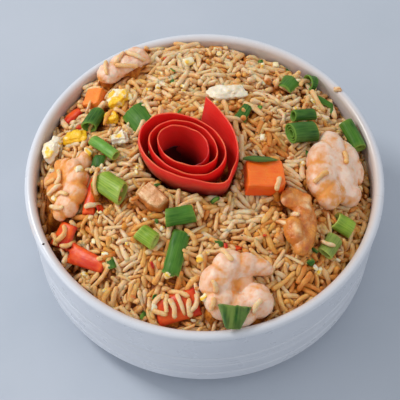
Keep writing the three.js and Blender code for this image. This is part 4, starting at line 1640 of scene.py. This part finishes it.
    def grains(self, chosen: np.ndarray) -> tuple[Shape, np.ndarray]:
        """Skins grains as tapered, slightly flattened rods.

        Args:
            chosen: The numbers of the grains.

        Returns:
            The grains as one shape, and their flat map.
        """
        count = len(chosen)
        rng = np.random.default_rng(self.seed + 3 + count)
        t = np.array(self.stations)
        share = np.linspace(-1, 1, self.beads)
        fit = np.linalg.pinv(np.vander(share, 3))
        curve = np.einsum("pk,nkc->npc", fit, self.points[chosen])
        stretch = 1 + self.radius[chosen] / self.half[chosen]
        u = t[None] * stretch[:, None]
        middle = sum(curve[:, 2 - p, None] * u[..., None] ** p for p in range(3))
        along = unit(2 * curve[:, 0, None] * u[..., None] + curve[:, 1, None])
        lean = unit(rng.normal(0, 1, (count, 1, 3)))
        wide = unit(lean - (lean * along).sum(-1, keepdims=True) * along)
        flat = np.cross(along, wide)
        sway = rng.normal(0, 0.28, (count, 1, 1)) * np.sin(2.6 * t)[None, :, None]
        middle = middle + sway * wide
        taper = np.exp(rng.uniform(1.9, 3.2, (count, 1)))
        girth = np.clip(1 - np.abs(t)[None] ** taper, 0, 1) ** 0.5
        lop = 1 + 0.09 * rng.normal(0, 1, (count, 1)) * t[None]
        lump = 1 + 0.07 * np.sin(rng.uniform(0, 6, (count, 1)) + 5.5 * t[None])
        girth = girth * lop * lump * self.radius[chosen, None]
        angle = 2 * np.pi * np.arange(self.sides) / self.sides + np.pi / self.sides
        boxy = (np.abs(np.cos(angle)) ** 3.4 + np.abs(np.sin(angle)) ** 3.4) ** (-1 / 3.4)
        press = rng.uniform(0.64, 0.92, (count, 1, 1, 1))
        turn = (boxy * np.cos(angle))[None, None, :, None] * wide[:, :, None]
        turn = turn + press * (boxy * np.sin(angle))[None, None, :, None] * flat[:, :, None]
        rings = middle[:, 1:-1, None] + girth[:, 1:-1, None, None] * turn[:, 1:-1]
        points = np.concatenate([middle[:, :1], rings.reshape(count, -1, 3), middle[:, -1:]], 1)
        faces, corners = self.rod()
        every = (faces[None] + (np.arange(count) * points.shape[1])[:, None, None]).reshape(-1, 3)
        tone = np.clip(rng.normal(0.45, 0.3, (count, 1)), 0, 1) + np.zeros(points.shape[1])
        ends = np.concatenate([[1], np.repeat(smoothstep(np.abs(t[1:-1]), 0.75, 1), self.sides), [1]])
        ends = ends * rng.uniform(0.1, 1.0, (count, 1))
        places = points.reshape(-1, 3)
        masks = {"tone": tone.ravel(), "tip": ends.ravel(), "soak_and_shade": self.soak_and_shade(places)}
        shape = Shape(places, [tuple(face) for face in every.tolist()], masks).roughened(1.7, 0.22, 31.0)
        # Painted shade: each grain's sides and underside darker than its top, added to the stain on its ends.
        side_shade_share = 1 - smoothstep(shape.normals()[:, 2], -0.1, 0.8)
        masks["tip"] = np.clip(masks["tip"] + self.side_shade * side_shade_share, 0, 1)
        rows = math.ceil(math.sqrt(count))
        cell = np.stack([np.arange(count) % rows, np.arange(count) // rows], -1)
        return shape, ((cell[:, None] + 0.06 + 0.88 * corners[None]) / rows).reshape(-1, 2)

    def rod(self) -> tuple[np.ndarray, np.ndarray]:
        """Lists the faces of one grain.

        Returns:
            The corners of each triangle, and their places on a flat square.
        """
        sides, rows = self.sides, len(self.stations) - 2
        faces, places = [], []
        for i in range(sides):
            j = (i + 1) % sides
            a, b = i / sides, (i + 1) / sides
            middle = (a + b) / 2
            faces.append((0, 1 + j, 1 + i))
            places.append(((0, middle), (1 / (rows + 1), b), (1 / (rows + 1), a)))
            for row in range(rows - 1):
                low, high = 1 + row * sides, 1 + (row + 1) * sides
                u, v = (row + 1) / (rows + 1), (row + 2) / (rows + 1)
                faces += [(low + i, low + j, high + j), (low + i, high + j, high + i)]
                places += [((u, a), (u, b), (v, b)), ((u, a), (v, b), (v, a))]
            low = 1 + (rows - 1) * sides
            faces.append((low + i, low + j, rows * sides + 1))
            places.append(((rows / (rows + 1), a), (rows / (rows + 1), b), (1, middle)))
        return np.array(faces), np.array(places).reshape(-1, 2)

    def top(self, x: float, y: float) -> float:
        """Gives the height of the topmost grain or topping at a place.

        Args:
            x: Place to the right.
            y: Place to the back.

        Returns:
            The height.
        """
        flat = self.points.reshape(-1, 3)
        size = self.each_bead(self.radius)
        gap = np.hypot(flat[:, 0] - x, flat[:, 1] - y)
        under = gap < size
        tops = flat[under, 2] + np.sqrt(size[under] ** 2 - gap[under] ** 2)
        return max(self.obstacles.top(x, y), float(tops.max()) if len(tops) else 0.0)


@dataclass
class Core:
    """The heap's inside below the loose grains, down to the bowl's floor, with a pit for the rose; painted
    shade darkens its holes and the pit.
    """

    bowl: Bowl
    pile: Pile
    depth: float = 4.9
    pit: tuple[float, float, float, float] = (-9.5, 2.0, 15.0, 14.0)
    rings: int = 110
    segments: int = 300
    clearance: float = 0.35

    def build(self, effects: Effects) -> None:
        """Makes the core with grain-like relief on its top.

        Args:
            effects: The shared shader groups.
        """
        bowl, low = self.bowl, self.bowl.floor + self.clearance
        corner, turn = bowl.floor + bowl.corners[1], bowl.corners[1]
        profile = [(1.0, low), (40.0, low)]
        profile += bend((float(bowl.inner(corner)) - turn, corner), turn - self.clearance, -88, 0, 8)
        profile += [(float(bowl.inner(z)) - self.clearance, z) for z in (30.0, 40.0, 45.0)]
        around = np.linspace(0, 2 * np.pi, self.segments, endpoint=False)
        wall = np.array([[(r * math.cos(a), r * math.sin(a), z) for a in around] for r, z in profile])
        r = np.linspace(float(bowl.inner(50.0)) - self.clearance, 1.0, self.rings)[:, None]
        x, y = r * np.cos(around), r * np.sin(around)
        pit_x, pit_y, pit_radius, pit_depth = self.pit
        pit = np.exp(-((np.hypot(x - pit_x, y - pit_y) / pit_radius) ** 6))
        places = np.stack([x.ravel(), y.ravel(), x.ravel() * 0], -1)
        relief = 1.1 * rough(places, 2.1, 3, 2) + 0.6 * rough(places, 5, 4)
        holes = smoothstep(rough(places, 9, 12, 2), 0.12, 0.4).reshape(x.shape)
        z = self.crest(x, y) - self.depth - pit_depth * pit - 3.0 * holes + relief.reshape(x.shape)
        # Painted shade: the holes and the rose's pit take the near-black third colour.
        tint = np.concatenate([np.zeros(wall.shape[:2]), np.clip(0.75 * holes + pit, 0, 1)])
        shape = loft(np.concatenate([wall, np.stack([x, y, z], -1)]), {"tint": tint})
        make_piece("rice_core", shape, CORE.material(effects), "rice")

    def crest(self, x: np.ndarray, y: np.ndarray) -> np.ndarray:
        """Reads the height of the grains' tops between the squares of their map.

        Args:
            x: Places to the right.
            y: Places to the back.

        Returns:
            The height at each place.
        """
        tops, pile = self.pile.crests(), self.pile
        across, along = (x + pile.extent) / pile.square - 0.5, (y + pile.extent) / pile.square - 0.5
        i, j = np.floor(across).astype(int), np.floor(along).astype(int)
        u, v = across - i, along - j
        near = tops[i, j] * (1 - u) + tops[i + 1, j] * u
        far = tops[i, j + 1] * (1 - u) + tops[i + 1, j + 1] * u
        return near * (1 - v) + far * v


# ---- Small bits ----


@dataclass
class Bits:
    """Crumbs and shreds of one kind, scattered over the food and at chosen spots.

    A spot is a place and a scale. One on the rim has its height as well.
    """

    name: str
    finish: Finish
    slot: str
    size: tuple[float, float, float]
    count: int
    seed: int
    spots: tuple[tuple, ...] = ()
    on_rim: tuple[tuple, ...] = ()

    def build(self, pile: Pile, effects: Effects) -> None:
        """Makes the bits where they come to rest.

        Args:
            pile: The settled rice.
            effects: The shared shader groups.
        """
        rng = np.random.default_rng(self.seed)
        ring = 80 * np.sqrt(rng.random(self.count))
        turn = rng.uniform(0, 2 * np.pi, self.count)
        places = [(r * math.cos(a), r * math.sin(a), 1.0) for r, a in zip(ring, turn)]
        made = []
        for x, y, scale in [*self.spots, *places]:
            if scale == 1.0 and pile.obstacles.top(x, y):
                continue
            half = np.array(self.size) / 2 * scale * rng.uniform(0.6, 1.35, 3)
            made.append(self.bit(half, rng).moved(self.resting(x, y, half, pile, rng)))
        for x, y, z, scale in self.on_rim:
            half = np.array(self.size) / 2 * scale
            made.append(self.bit(half, rng).moved(Matrix.Translation(Vector((x, y, z + half[2] * 0.5)))))
        make_piece(self.name, join(made), self.finish.material(effects))

    def resting(self, x: float, y: float, half: np.ndarray, pile: Pile, rng: np.random.Generator) -> Matrix:
        """Finds how a bit lies at a place.

        Args:
            x: Place to the right.
            y: Place to the back.
            half: The bit's half sizes.
            pile: The settled rice.
            rng: The source of chance.

        Returns:
            The move from the bit's own frame to the part's.
        """
        spread = half[0] * 0.5
        around = ((0, 0), (1, 0), (-1, 0), (0, 1), (0, -1))
        heights = [pile.top(x + dx * spread, y + dy * spread) for dx, dy in around]
        slope_x = np.clip((heights[1] - heights[2]) / (2 * spread), -0.7, 0.7)
        slope_y = np.clip((heights[3] - heights[4]) / (2 * spread), -0.7, 0.7)
        tilt = UP.rotation_difference(Vector((-slope_x, -slope_y, 1)))
        spin = Matrix.Rotation(rng.uniform(0, 2 * math.pi), 3, "Z")
        place = Vector((x, y, sorted(heights)[2] + half[2] * 0.35))
        return Matrix.Translation(place) @ (tilt.to_matrix() @ spin).to_4x4()

    def bit(self, half: np.ndarray, rng: np.random.Generator) -> Shape:
        """Makes one torn bit.

        Args:
            half: Its half sizes.
            rng: The source of chance.

        Returns:
            The bit in its own frame.
        """
        p, faces = ball(3)
        boxy = p / np.maximum(np.abs(p).max(1, keepdims=True), 1e-6) ** 0.6
        seed = rng.uniform(0, 50)
        points = boxy * half * (1 + 0.3 * rough(p, 0.7, seed, 2))[:, None]
        tint = smoothstep(rough(p, 1.2, seed + 1), -0.1, 0.4)
        return Shape(points, faces, {"tint": tint, "lay": lay_map(points[:, 1], points[:, 0], seed)})


# ---- Studio ----


@dataclass
class Studio:
    """The table, the lights and the camera.

    Each lamp is a name, a place and a side in metres, a power in watts and a colour.
    """

    camera: tuple[float, float, float] = (-2.22, -370.29, 661.96)
    pitch: float = 59.1453
    lens: float = 126.31
    room: float = 0.56
    room_colour: Colour = (0.95, 0.97, 1.0)
    table: float = 3.0
    lamps: tuple[tuple, ...] = (
        ("key", (-0.85, 0.42, 1.05), 0.34, 9.1, (1.0, 0.985, 0.965)),
        ("side", (-1.2, -0.3, 0.35), 0.7, 3.6, (1.0, 0.99, 0.98)),
        ("overhead", (1.1, -0.2, 0.9), 1.0, 2.2, (1.0, 0.99, 0.98)),
    )

    def add(self, name: str, data: bpy.types.ID) -> bpy.types.Object:
        """Adds an object to the scene.

        Args:
            name: Its name.
            data: Its mesh, light or camera.

        Returns:
            The object.
        """
        made = bpy.data.objects.new(name, data)
        bpy.context.scene.collection.objects.link(made)
        return made

    def build(self, effects: Effects) -> None:
        """Sets up the picture.

        Args:
            effects: The shared shader groups.
        """
        scene = bpy.context.scene
        scene.view_settings.view_transform = "Standard"
        lens = bpy.data.cameras.new("camera")
        lens.lens, lens.sensor_width = self.lens, 36
        lens.clip_start, lens.clip_end = 0.01, 20
        scene.camera = self.add("camera", lens)
        scene.camera.location = [value * MM for value in self.camera]
        scene.camera.rotation_euler = (math.radians(90 - self.pitch), 0, 0)
        scene.world = bpy.data.worlds.new("room")
        scene.world.use_nodes = True
        shade = scene.world.node_tree.nodes["Background"]
        shade.inputs["Color"].default_value = (*self.room_colour, 1)
        shade.inputs["Strength"].default_value = self.room
        for name, place, size, power, colour in self.lamps:
            light = bpy.data.lights.new(name, "AREA")
            light.size, light.energy, light.color = size, power, colour
            lamp = self.add(name, light)
            lamp.location = place
            lamp.rotation_euler = (-Vector(place)).to_track_quat("-Z", "Y").to_euler()
        mesh = bpy.data.meshes.new("table")
        corners = [(x * self.table, y * self.table, 0) for x, y in ((-1, -1), (1, -1), (1, 1), (-1, 1))]
        mesh.from_pydata(corners, [], [(0, 1, 2, 3)])
        mesh.materials.append(FLOOR.material(effects))
        self.add("table", mesh)


# ---- The dish ----


def prawns() -> list[Topping]:
    """Lists the prawns.

    Returns:
        The prawns.
    """
    right = (Lobe((1.6, -1.5, 0.2), (9, 13, 6.2), 8), Lobe((-4, 3, 0.2), (9, 16, 6.4), -4),
             Lobe((6.4, -9.4, -0.8), (7.4, 7.6, 5.4), 30, 0.1),
             Lobe((-4.6, -12, -0.4), (8.4, 7.6, 6), -30, 0.55),
             Lobe((-2.4, 17.4, -0.8), (7.2, 7.6, 5.4), -15, 0.1))
    right_stains = ((-4.4, 17, 2.2, 0.9), (1.8, 9.2, 2.4, 1), (-10, -17.5, 6, 1.1), (0, -22, 6, 1.1),
                    (-16, 3, 3.5, 0.7), (-16, -8, 5, 1), (12, -11, 3, 0.6), (6.4, 1, 1.6, 0.5))
    front = (Lobe((1, 2.4, -2.2), (6.4, 4.8, 5), 20, 0.5), Lobe((9, -6.4, 0.2), (7.8, 8.6, 6.4), 24),
             Lobe((9.6, 10.2, -0.8), (7.4, 4.4, 4.6), -16, 0.1))
    front_stains = ((-0.6, 1.2, 2.4, 1.1), (-3.2, -3.2, 2.2, 0.8), (-10.5, 1.9, 3.5, 0.5),
                    (2.1, 11.2, 3, 0.5), (11.5, 3.2, 2.6, 0.6), (-11, -8, 3, 0.5))
    left = (Lobe((-5.4, 1.2, -1), (6.4, 9.4, 4.6), 0, 0.4), Lobe((-9.8, 5.2, -1.6), (5.2, 5.4, 4), 0, 0.3),
            Lobe((5.4, 15.4, -2.2), (4.4, 6.4, 4), -10), Lobe((-7, 13.4, -2.4), (4, 5, 3.6), 20, 0.3))
    left_stains = ((8.8, 8, 1.8, 0.9), (9.4, 0, 1.8, 0.9), (9, -8, 2, 0.9), (0.7, 3.1, 1.2, 1),
                   (-4.6, 11.3, 5, 0.8), (-5, -2.7, 4.5, 0.8), (-2, 6, 4, 0.7), (-8, -8, 5, 0.7))
    back_stains = ((-4, 7, 3, 0.5), (6, 10, 3, 0.5), (-11, -2, 2.5, 0.4))
    prawn = (PRAWN, "prawn")
    return [
        Curled("prawn_right", Seat(66.2, 0, 2, -2), *prawn, 3, 10.6, 268, -4, (6.6, 8.6, 4.6), 0.18, 1.32,
               extra_tint=-0.15, ringed=0.5, melt=40, lobes=right, stains=right_stains),
        Curled("prawn_front", Seat(16, -65, 1.4), *prawn, 8, 10.6, 36, 352, (6.2, 8, 7.4), lobes=front,
               stains=front_stains),
        Curled("prawn_back", Seat(-42, 63.2, 6.2), *prawn, 13, 60, 111, 139.5, (6, 6.6, 5.6), rings=3,
               bumps=0.8, melt=8, stains=back_stains),
        Curled("prawn_left", Seat(-68, -8.5, 1.6, -8), *prawn, 18, 9.6, 106, -98, (5, 6.3, 5.2), stretch=1.2,
               back_tint=0.1, extra_tint=0.3, bumps=0.5, lobes=left, stains=left_stains),
    ]


def meats() -> list[Topping]:
    """Lists the pieces of chicken.

    Returns:
        The pieces.
    """
    curl = (Lobe((-2.6, -7.6, 0.8), (4.8, 7.4, 5.4), 14, 0.1), Lobe((2.8, 0, 0), (4.8, 11, 5), -4, 0.1),
            Lobe((4, 9.6, 1), (3.2, 4.6, 4), 0, 0.2))
    return [
        Curled("chicken_curl", Seat(44.9, -30, 0.8), CHICKEN, "chicken", 4, 8.4, 130, -82, (3.2, 5, 5.4),
               0.6, 1.5, rings=0, bumps=0.8, melt=28, veins=0, extra_tint=-0.2, back_tint=-0.7, creased=-0.4,
               lobes=curl, stains=((4, 5.4, 1.8, 0.9), (-3.2, -9.6, 2.8, 1), (-1, 10.5, 3.5, 0.4))),
        Chunk("chicken_seared", Seat(-25, -21, 0, -48, 8), CHICKEN_PALE, "chicken", 6, (14.5, 9.8, 9), 0.3,
              worn=0.8, uneven=0.6, shaded=1),
    ]


def eggs() -> list[Topping]:
    """Lists the curds of egg.

    Returns:
        The curds.
    """
    return [
        Curd("egg_white_back", Seat(12, 43.5, 1, 6), EGG_WHITE, "egg", 0.4, (22, 11, 6.5), 0.04, 0.9),
        Curd("egg_curd_back", Seat(-43.9, 42.6, 1.2, 30), EGG, "egg", 1.7, (13, 11, 7), 0.8, 1.3),
        Curd("egg_yolk_back", Seat(-46.5, 31.2, 1, -10), EGG, "egg", 2.6, (9, 7, 6), 1.2),
        Curd("egg_yolk_left", Seat(-65.7, 22.6, 1, -10), EGG, "egg", 3.9, (15.5, 8, 6), 1.4, 0.7),
        Curd("egg_white_left", Seat(-77.4, 16.6, 5, 70), EGG_WHITE, "egg", 5.1, (15.5, 8.6, 7), 0.3),
        Curd("egg_curd_middle", Seat(-42.2, 17, 0.6), EGG_WHITE, "egg", 0.9, (9, 8, 6), 0.2, 1.3),
    ]


def vegetables() -> list[Topping]:
    """Lists the carrot and the red pepper.

    Returns:
        The pieces.
    """
    pepper = (PEPPER, "pepper")
    return [
        Chunk("carrot_slab", Seat(29.1, -10.2, 2, 4, -9), CARROT, "carrot", 2, (19.5, 17, 8), 0.16, 0.03,
              shaded=0.6),
        Chunk("carrot_cube", Seat(-56.2, 46.4, 0.8, -14), CARROT_PAINTED_LIGHT, "carrot", 5, (10, 11.5, 8), 0.1,
              0.06, shaded=0.15),
        Ribbon("pepper_chip_back", Seat(-68.2, 39.6, 0.8, 38, 0, -14), *pepper, 2, 10, 7, 2.4),
        Ribbon("pepper_strip_left", Seat(-55.7, -14.4, 0.3, 79), *pepper, 3, 20, 6.5, 2.4, 0.8, 0.2),
        Ribbon("pepper_piece_left", Seat(-69.2, -32, 0.8, 60), *pepper, 4, 13, 11.5, 2.6, 1.2, 0.15),
        Ribbon("pepper_strip_front_left", Seat(-57.3, -46.4, 1, -28), *pepper, 5, 20.5, 10.5, 1.9, 0.8, 0.35,
               torn=1.6),
        Ribbon("pepper_front", Seat(-13.2, -72.9, -0.6, 14), *pepper, 6, 21, 13.5, 2.6, 1.2),
    ]


def onions() -> list[Topping]:
    """Lists the cut spring onion.

    Returns:
        The tubes and the flat pieces.
    """
    green, dark, pale = (ONION, "onion"), (ONION_DARK, "onion"), (ONION_PALE, "onion_pale")
    bright, dull = (ONION_BRIGHT, "onion"), (ONION_DULL, "onion")
    return [
        Stem("onion_tube_back_left", Seat(-56.3, 30.6, 2.8, 72, 6), *dark, 1, 11, 4.3),
        Stem("onion_tube_thin", Seat(-49.8, 10, 2.2, -44), *bright, 2, 17, 2.9, skin=0.9, bow=0.8),
        Stem("onion_tube_bent", Seat(-11.8, -31.8, 2, 9), *green, 3, 13, 4.6, 0.7),
        Stem("onion_tube_back_right", Seat(50.4, 32.2, 2.4, 20), *dark, 4, 12, 3.1, skin=0.9),
        Stem("onion_tube_fat", Seat(49.4, 20, 3.4, 22), *dark, 5, 14.4, 5.5, 0.66, layers=3),
        Stem("onion_tube_right", Seat(75.4, 24.7, 5.4, -63), *green, 6, 15.5, 4, layers=2),
        Stem("onion_ring_back", Seat(55.6, 57.6, 3.2, 12, 6), *dark, 7, 3.2, 4.6, bow=0),
        Stem("onion_tube_dull", Seat(60.8, -40.4, 1.2, 58), *dull, 8, 10.5, 4.2, 0.6),
        Stem("onion_pale_big", Seat(-45.2, -13.2, 3.2, -40), *pale, 9, 14, 5.9, 0.78, 1.0, slant=0.3),
        Stem("onion_pale_block", Seat(-27.4, -41, 2.4, -38), *pale, 10, 8.6, 4.4, 0.8, 1.3, layers=2),
        Stem("onion_pale_right", Seat(68.2, -28, 2, -22), *pale, 11, 9.5, 4.5, 0.8, 1.3),
        Ribbon("onion_flat_back", Seat(-34, 28.2, 1.6, -57), *green, 12, 13.5, 12.6, dome=1.8),
        Ribbon("onion_flat_long", Seat(-13.6, -48.6, 1.6, 75, 2), *green, 13, 22, 8.8, dome=1.2),
        Ribbon("onion_flat_dark", Seat(-53, 4, 0.6, 70), *dark, 14, 7, 6.5, dome=0.6),
        Ribbon("onion_flat_back_right", Seat(44.4, 56.2, 1.6, -118), *green, 15, 13, 10.5, dome=1.6,
               taper=0.3),
        Ribbon("onion_flat_right", Seat(61.4, 47.4, 1.2, -14), *green, 16, 12.5, 5.6, dome=1.2, taper=0.2),
        Ribbon("onion_flat_chip", Seat(20, 29.6, 1, 64, 0, 10), *dark, 17, 10.5, 6.6, dome=1, taper=0.3),
    ]


def leaves() -> list[Topping]:
    """Lists the leaf pieces.

    Returns:
        The pieces.
    """
    leaf = (LEAF, "leaf")
    return [
        Ribbon("leaf_sliver", Seat(27.2, -2.4, 7.4, 5, -8), *leaf, 4, 17.5, 4.2, 1.1, 0.5, 0.1, rim=0.2,
               point=0.85),
        Ribbon("leaf_front", Seat(13.6, -81.8, 10.8, -94, 7), *leaf, 9, 10.8, 16, 1.2, 1.4, 0.56, torn=1.2),
    ]


def bits() -> list[Bits]:
    """Lists the small bits, with the chosen spots of each.

    Returns:
        One entry for each kind.
    """
    green = ((-45, -51, 1.6), (-29, -74, 1.3), (7, -43, 1.4), (51, -50, 1.5), (5, -22, 1.4), (30, 75, 1.4),
             (44, 71, 1.5), (28, 34, 1.0))
    yolk = ((38, 72, 1.6), (0, -71, 1.5), (55, -53, 1.2), (-48, -46, 1.2), (-8, 67, 2.2), (29, 16, 1.3),
            (-2, -51, 1.6), (-58, 10, 1.7), (-1, 30, 1.3), (-74, -14, 1.6), (-62, -2, 1.4))
    brown = ((7, 82, 2.2), (33, 58, 2.2), (38, -33, 2.6), (36, -40, 2.0), (38, 45, 1.6), (43, 7, 1.4))
    red = ((-20, 70, 1.6), (16, -45, 2.0), (-51, -22, 2.0), (-64, 30, 1.5))
    return [
        Bits("green_bits", ONION_DARK, "onion", (3.4, 1.8, 0.9), 16, 3, green),
        Bits("egg_crumbs", EGG, "egg", (2.6, 2.0, 1.5), 60, 4, yolk),
        Bits("brown_bits", CHICKEN, "chicken", (2.6, 1.8, 1.3), 34, 5, brown, ((69.2, 52.4, 65.7, 1.5),)),
        Bits("red_bits", PEPPER, "pepper", (2.8, 1.6, 0.9), 8, 6, red),
        Bits("dark_specks", SPECK, "chicken", (0.7, 0.6, 0.4), 46, 7, (), ((-78.3, -39.2, 65.8, 1.6),)),
    ]


def main() -> None:
    """Builds the dish piece by piece."""
    logging.basicConfig(level=logging.INFO, format="%(message)s")
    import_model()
    effects = Effects()
    Studio().build(effects)
    bowl = Bowl()
    bowl.build(effects)
    shapes = [Rose().build(effects)]
    for topping in [*prawns(), *meats(), *eggs(), *vegetables(), *onions(), *leaves()]:
        shapes.append(topping.build(effects))
    pile = Pile(Obstacles(shapes), bowl)
    pile.lay()
    pile.settle()
    pile.build(effects)
    Core(bowl, pile).build(effects)
    for kind in bits():
        kind.build(pile, effects)


if __name__ == "__main__":
    main()
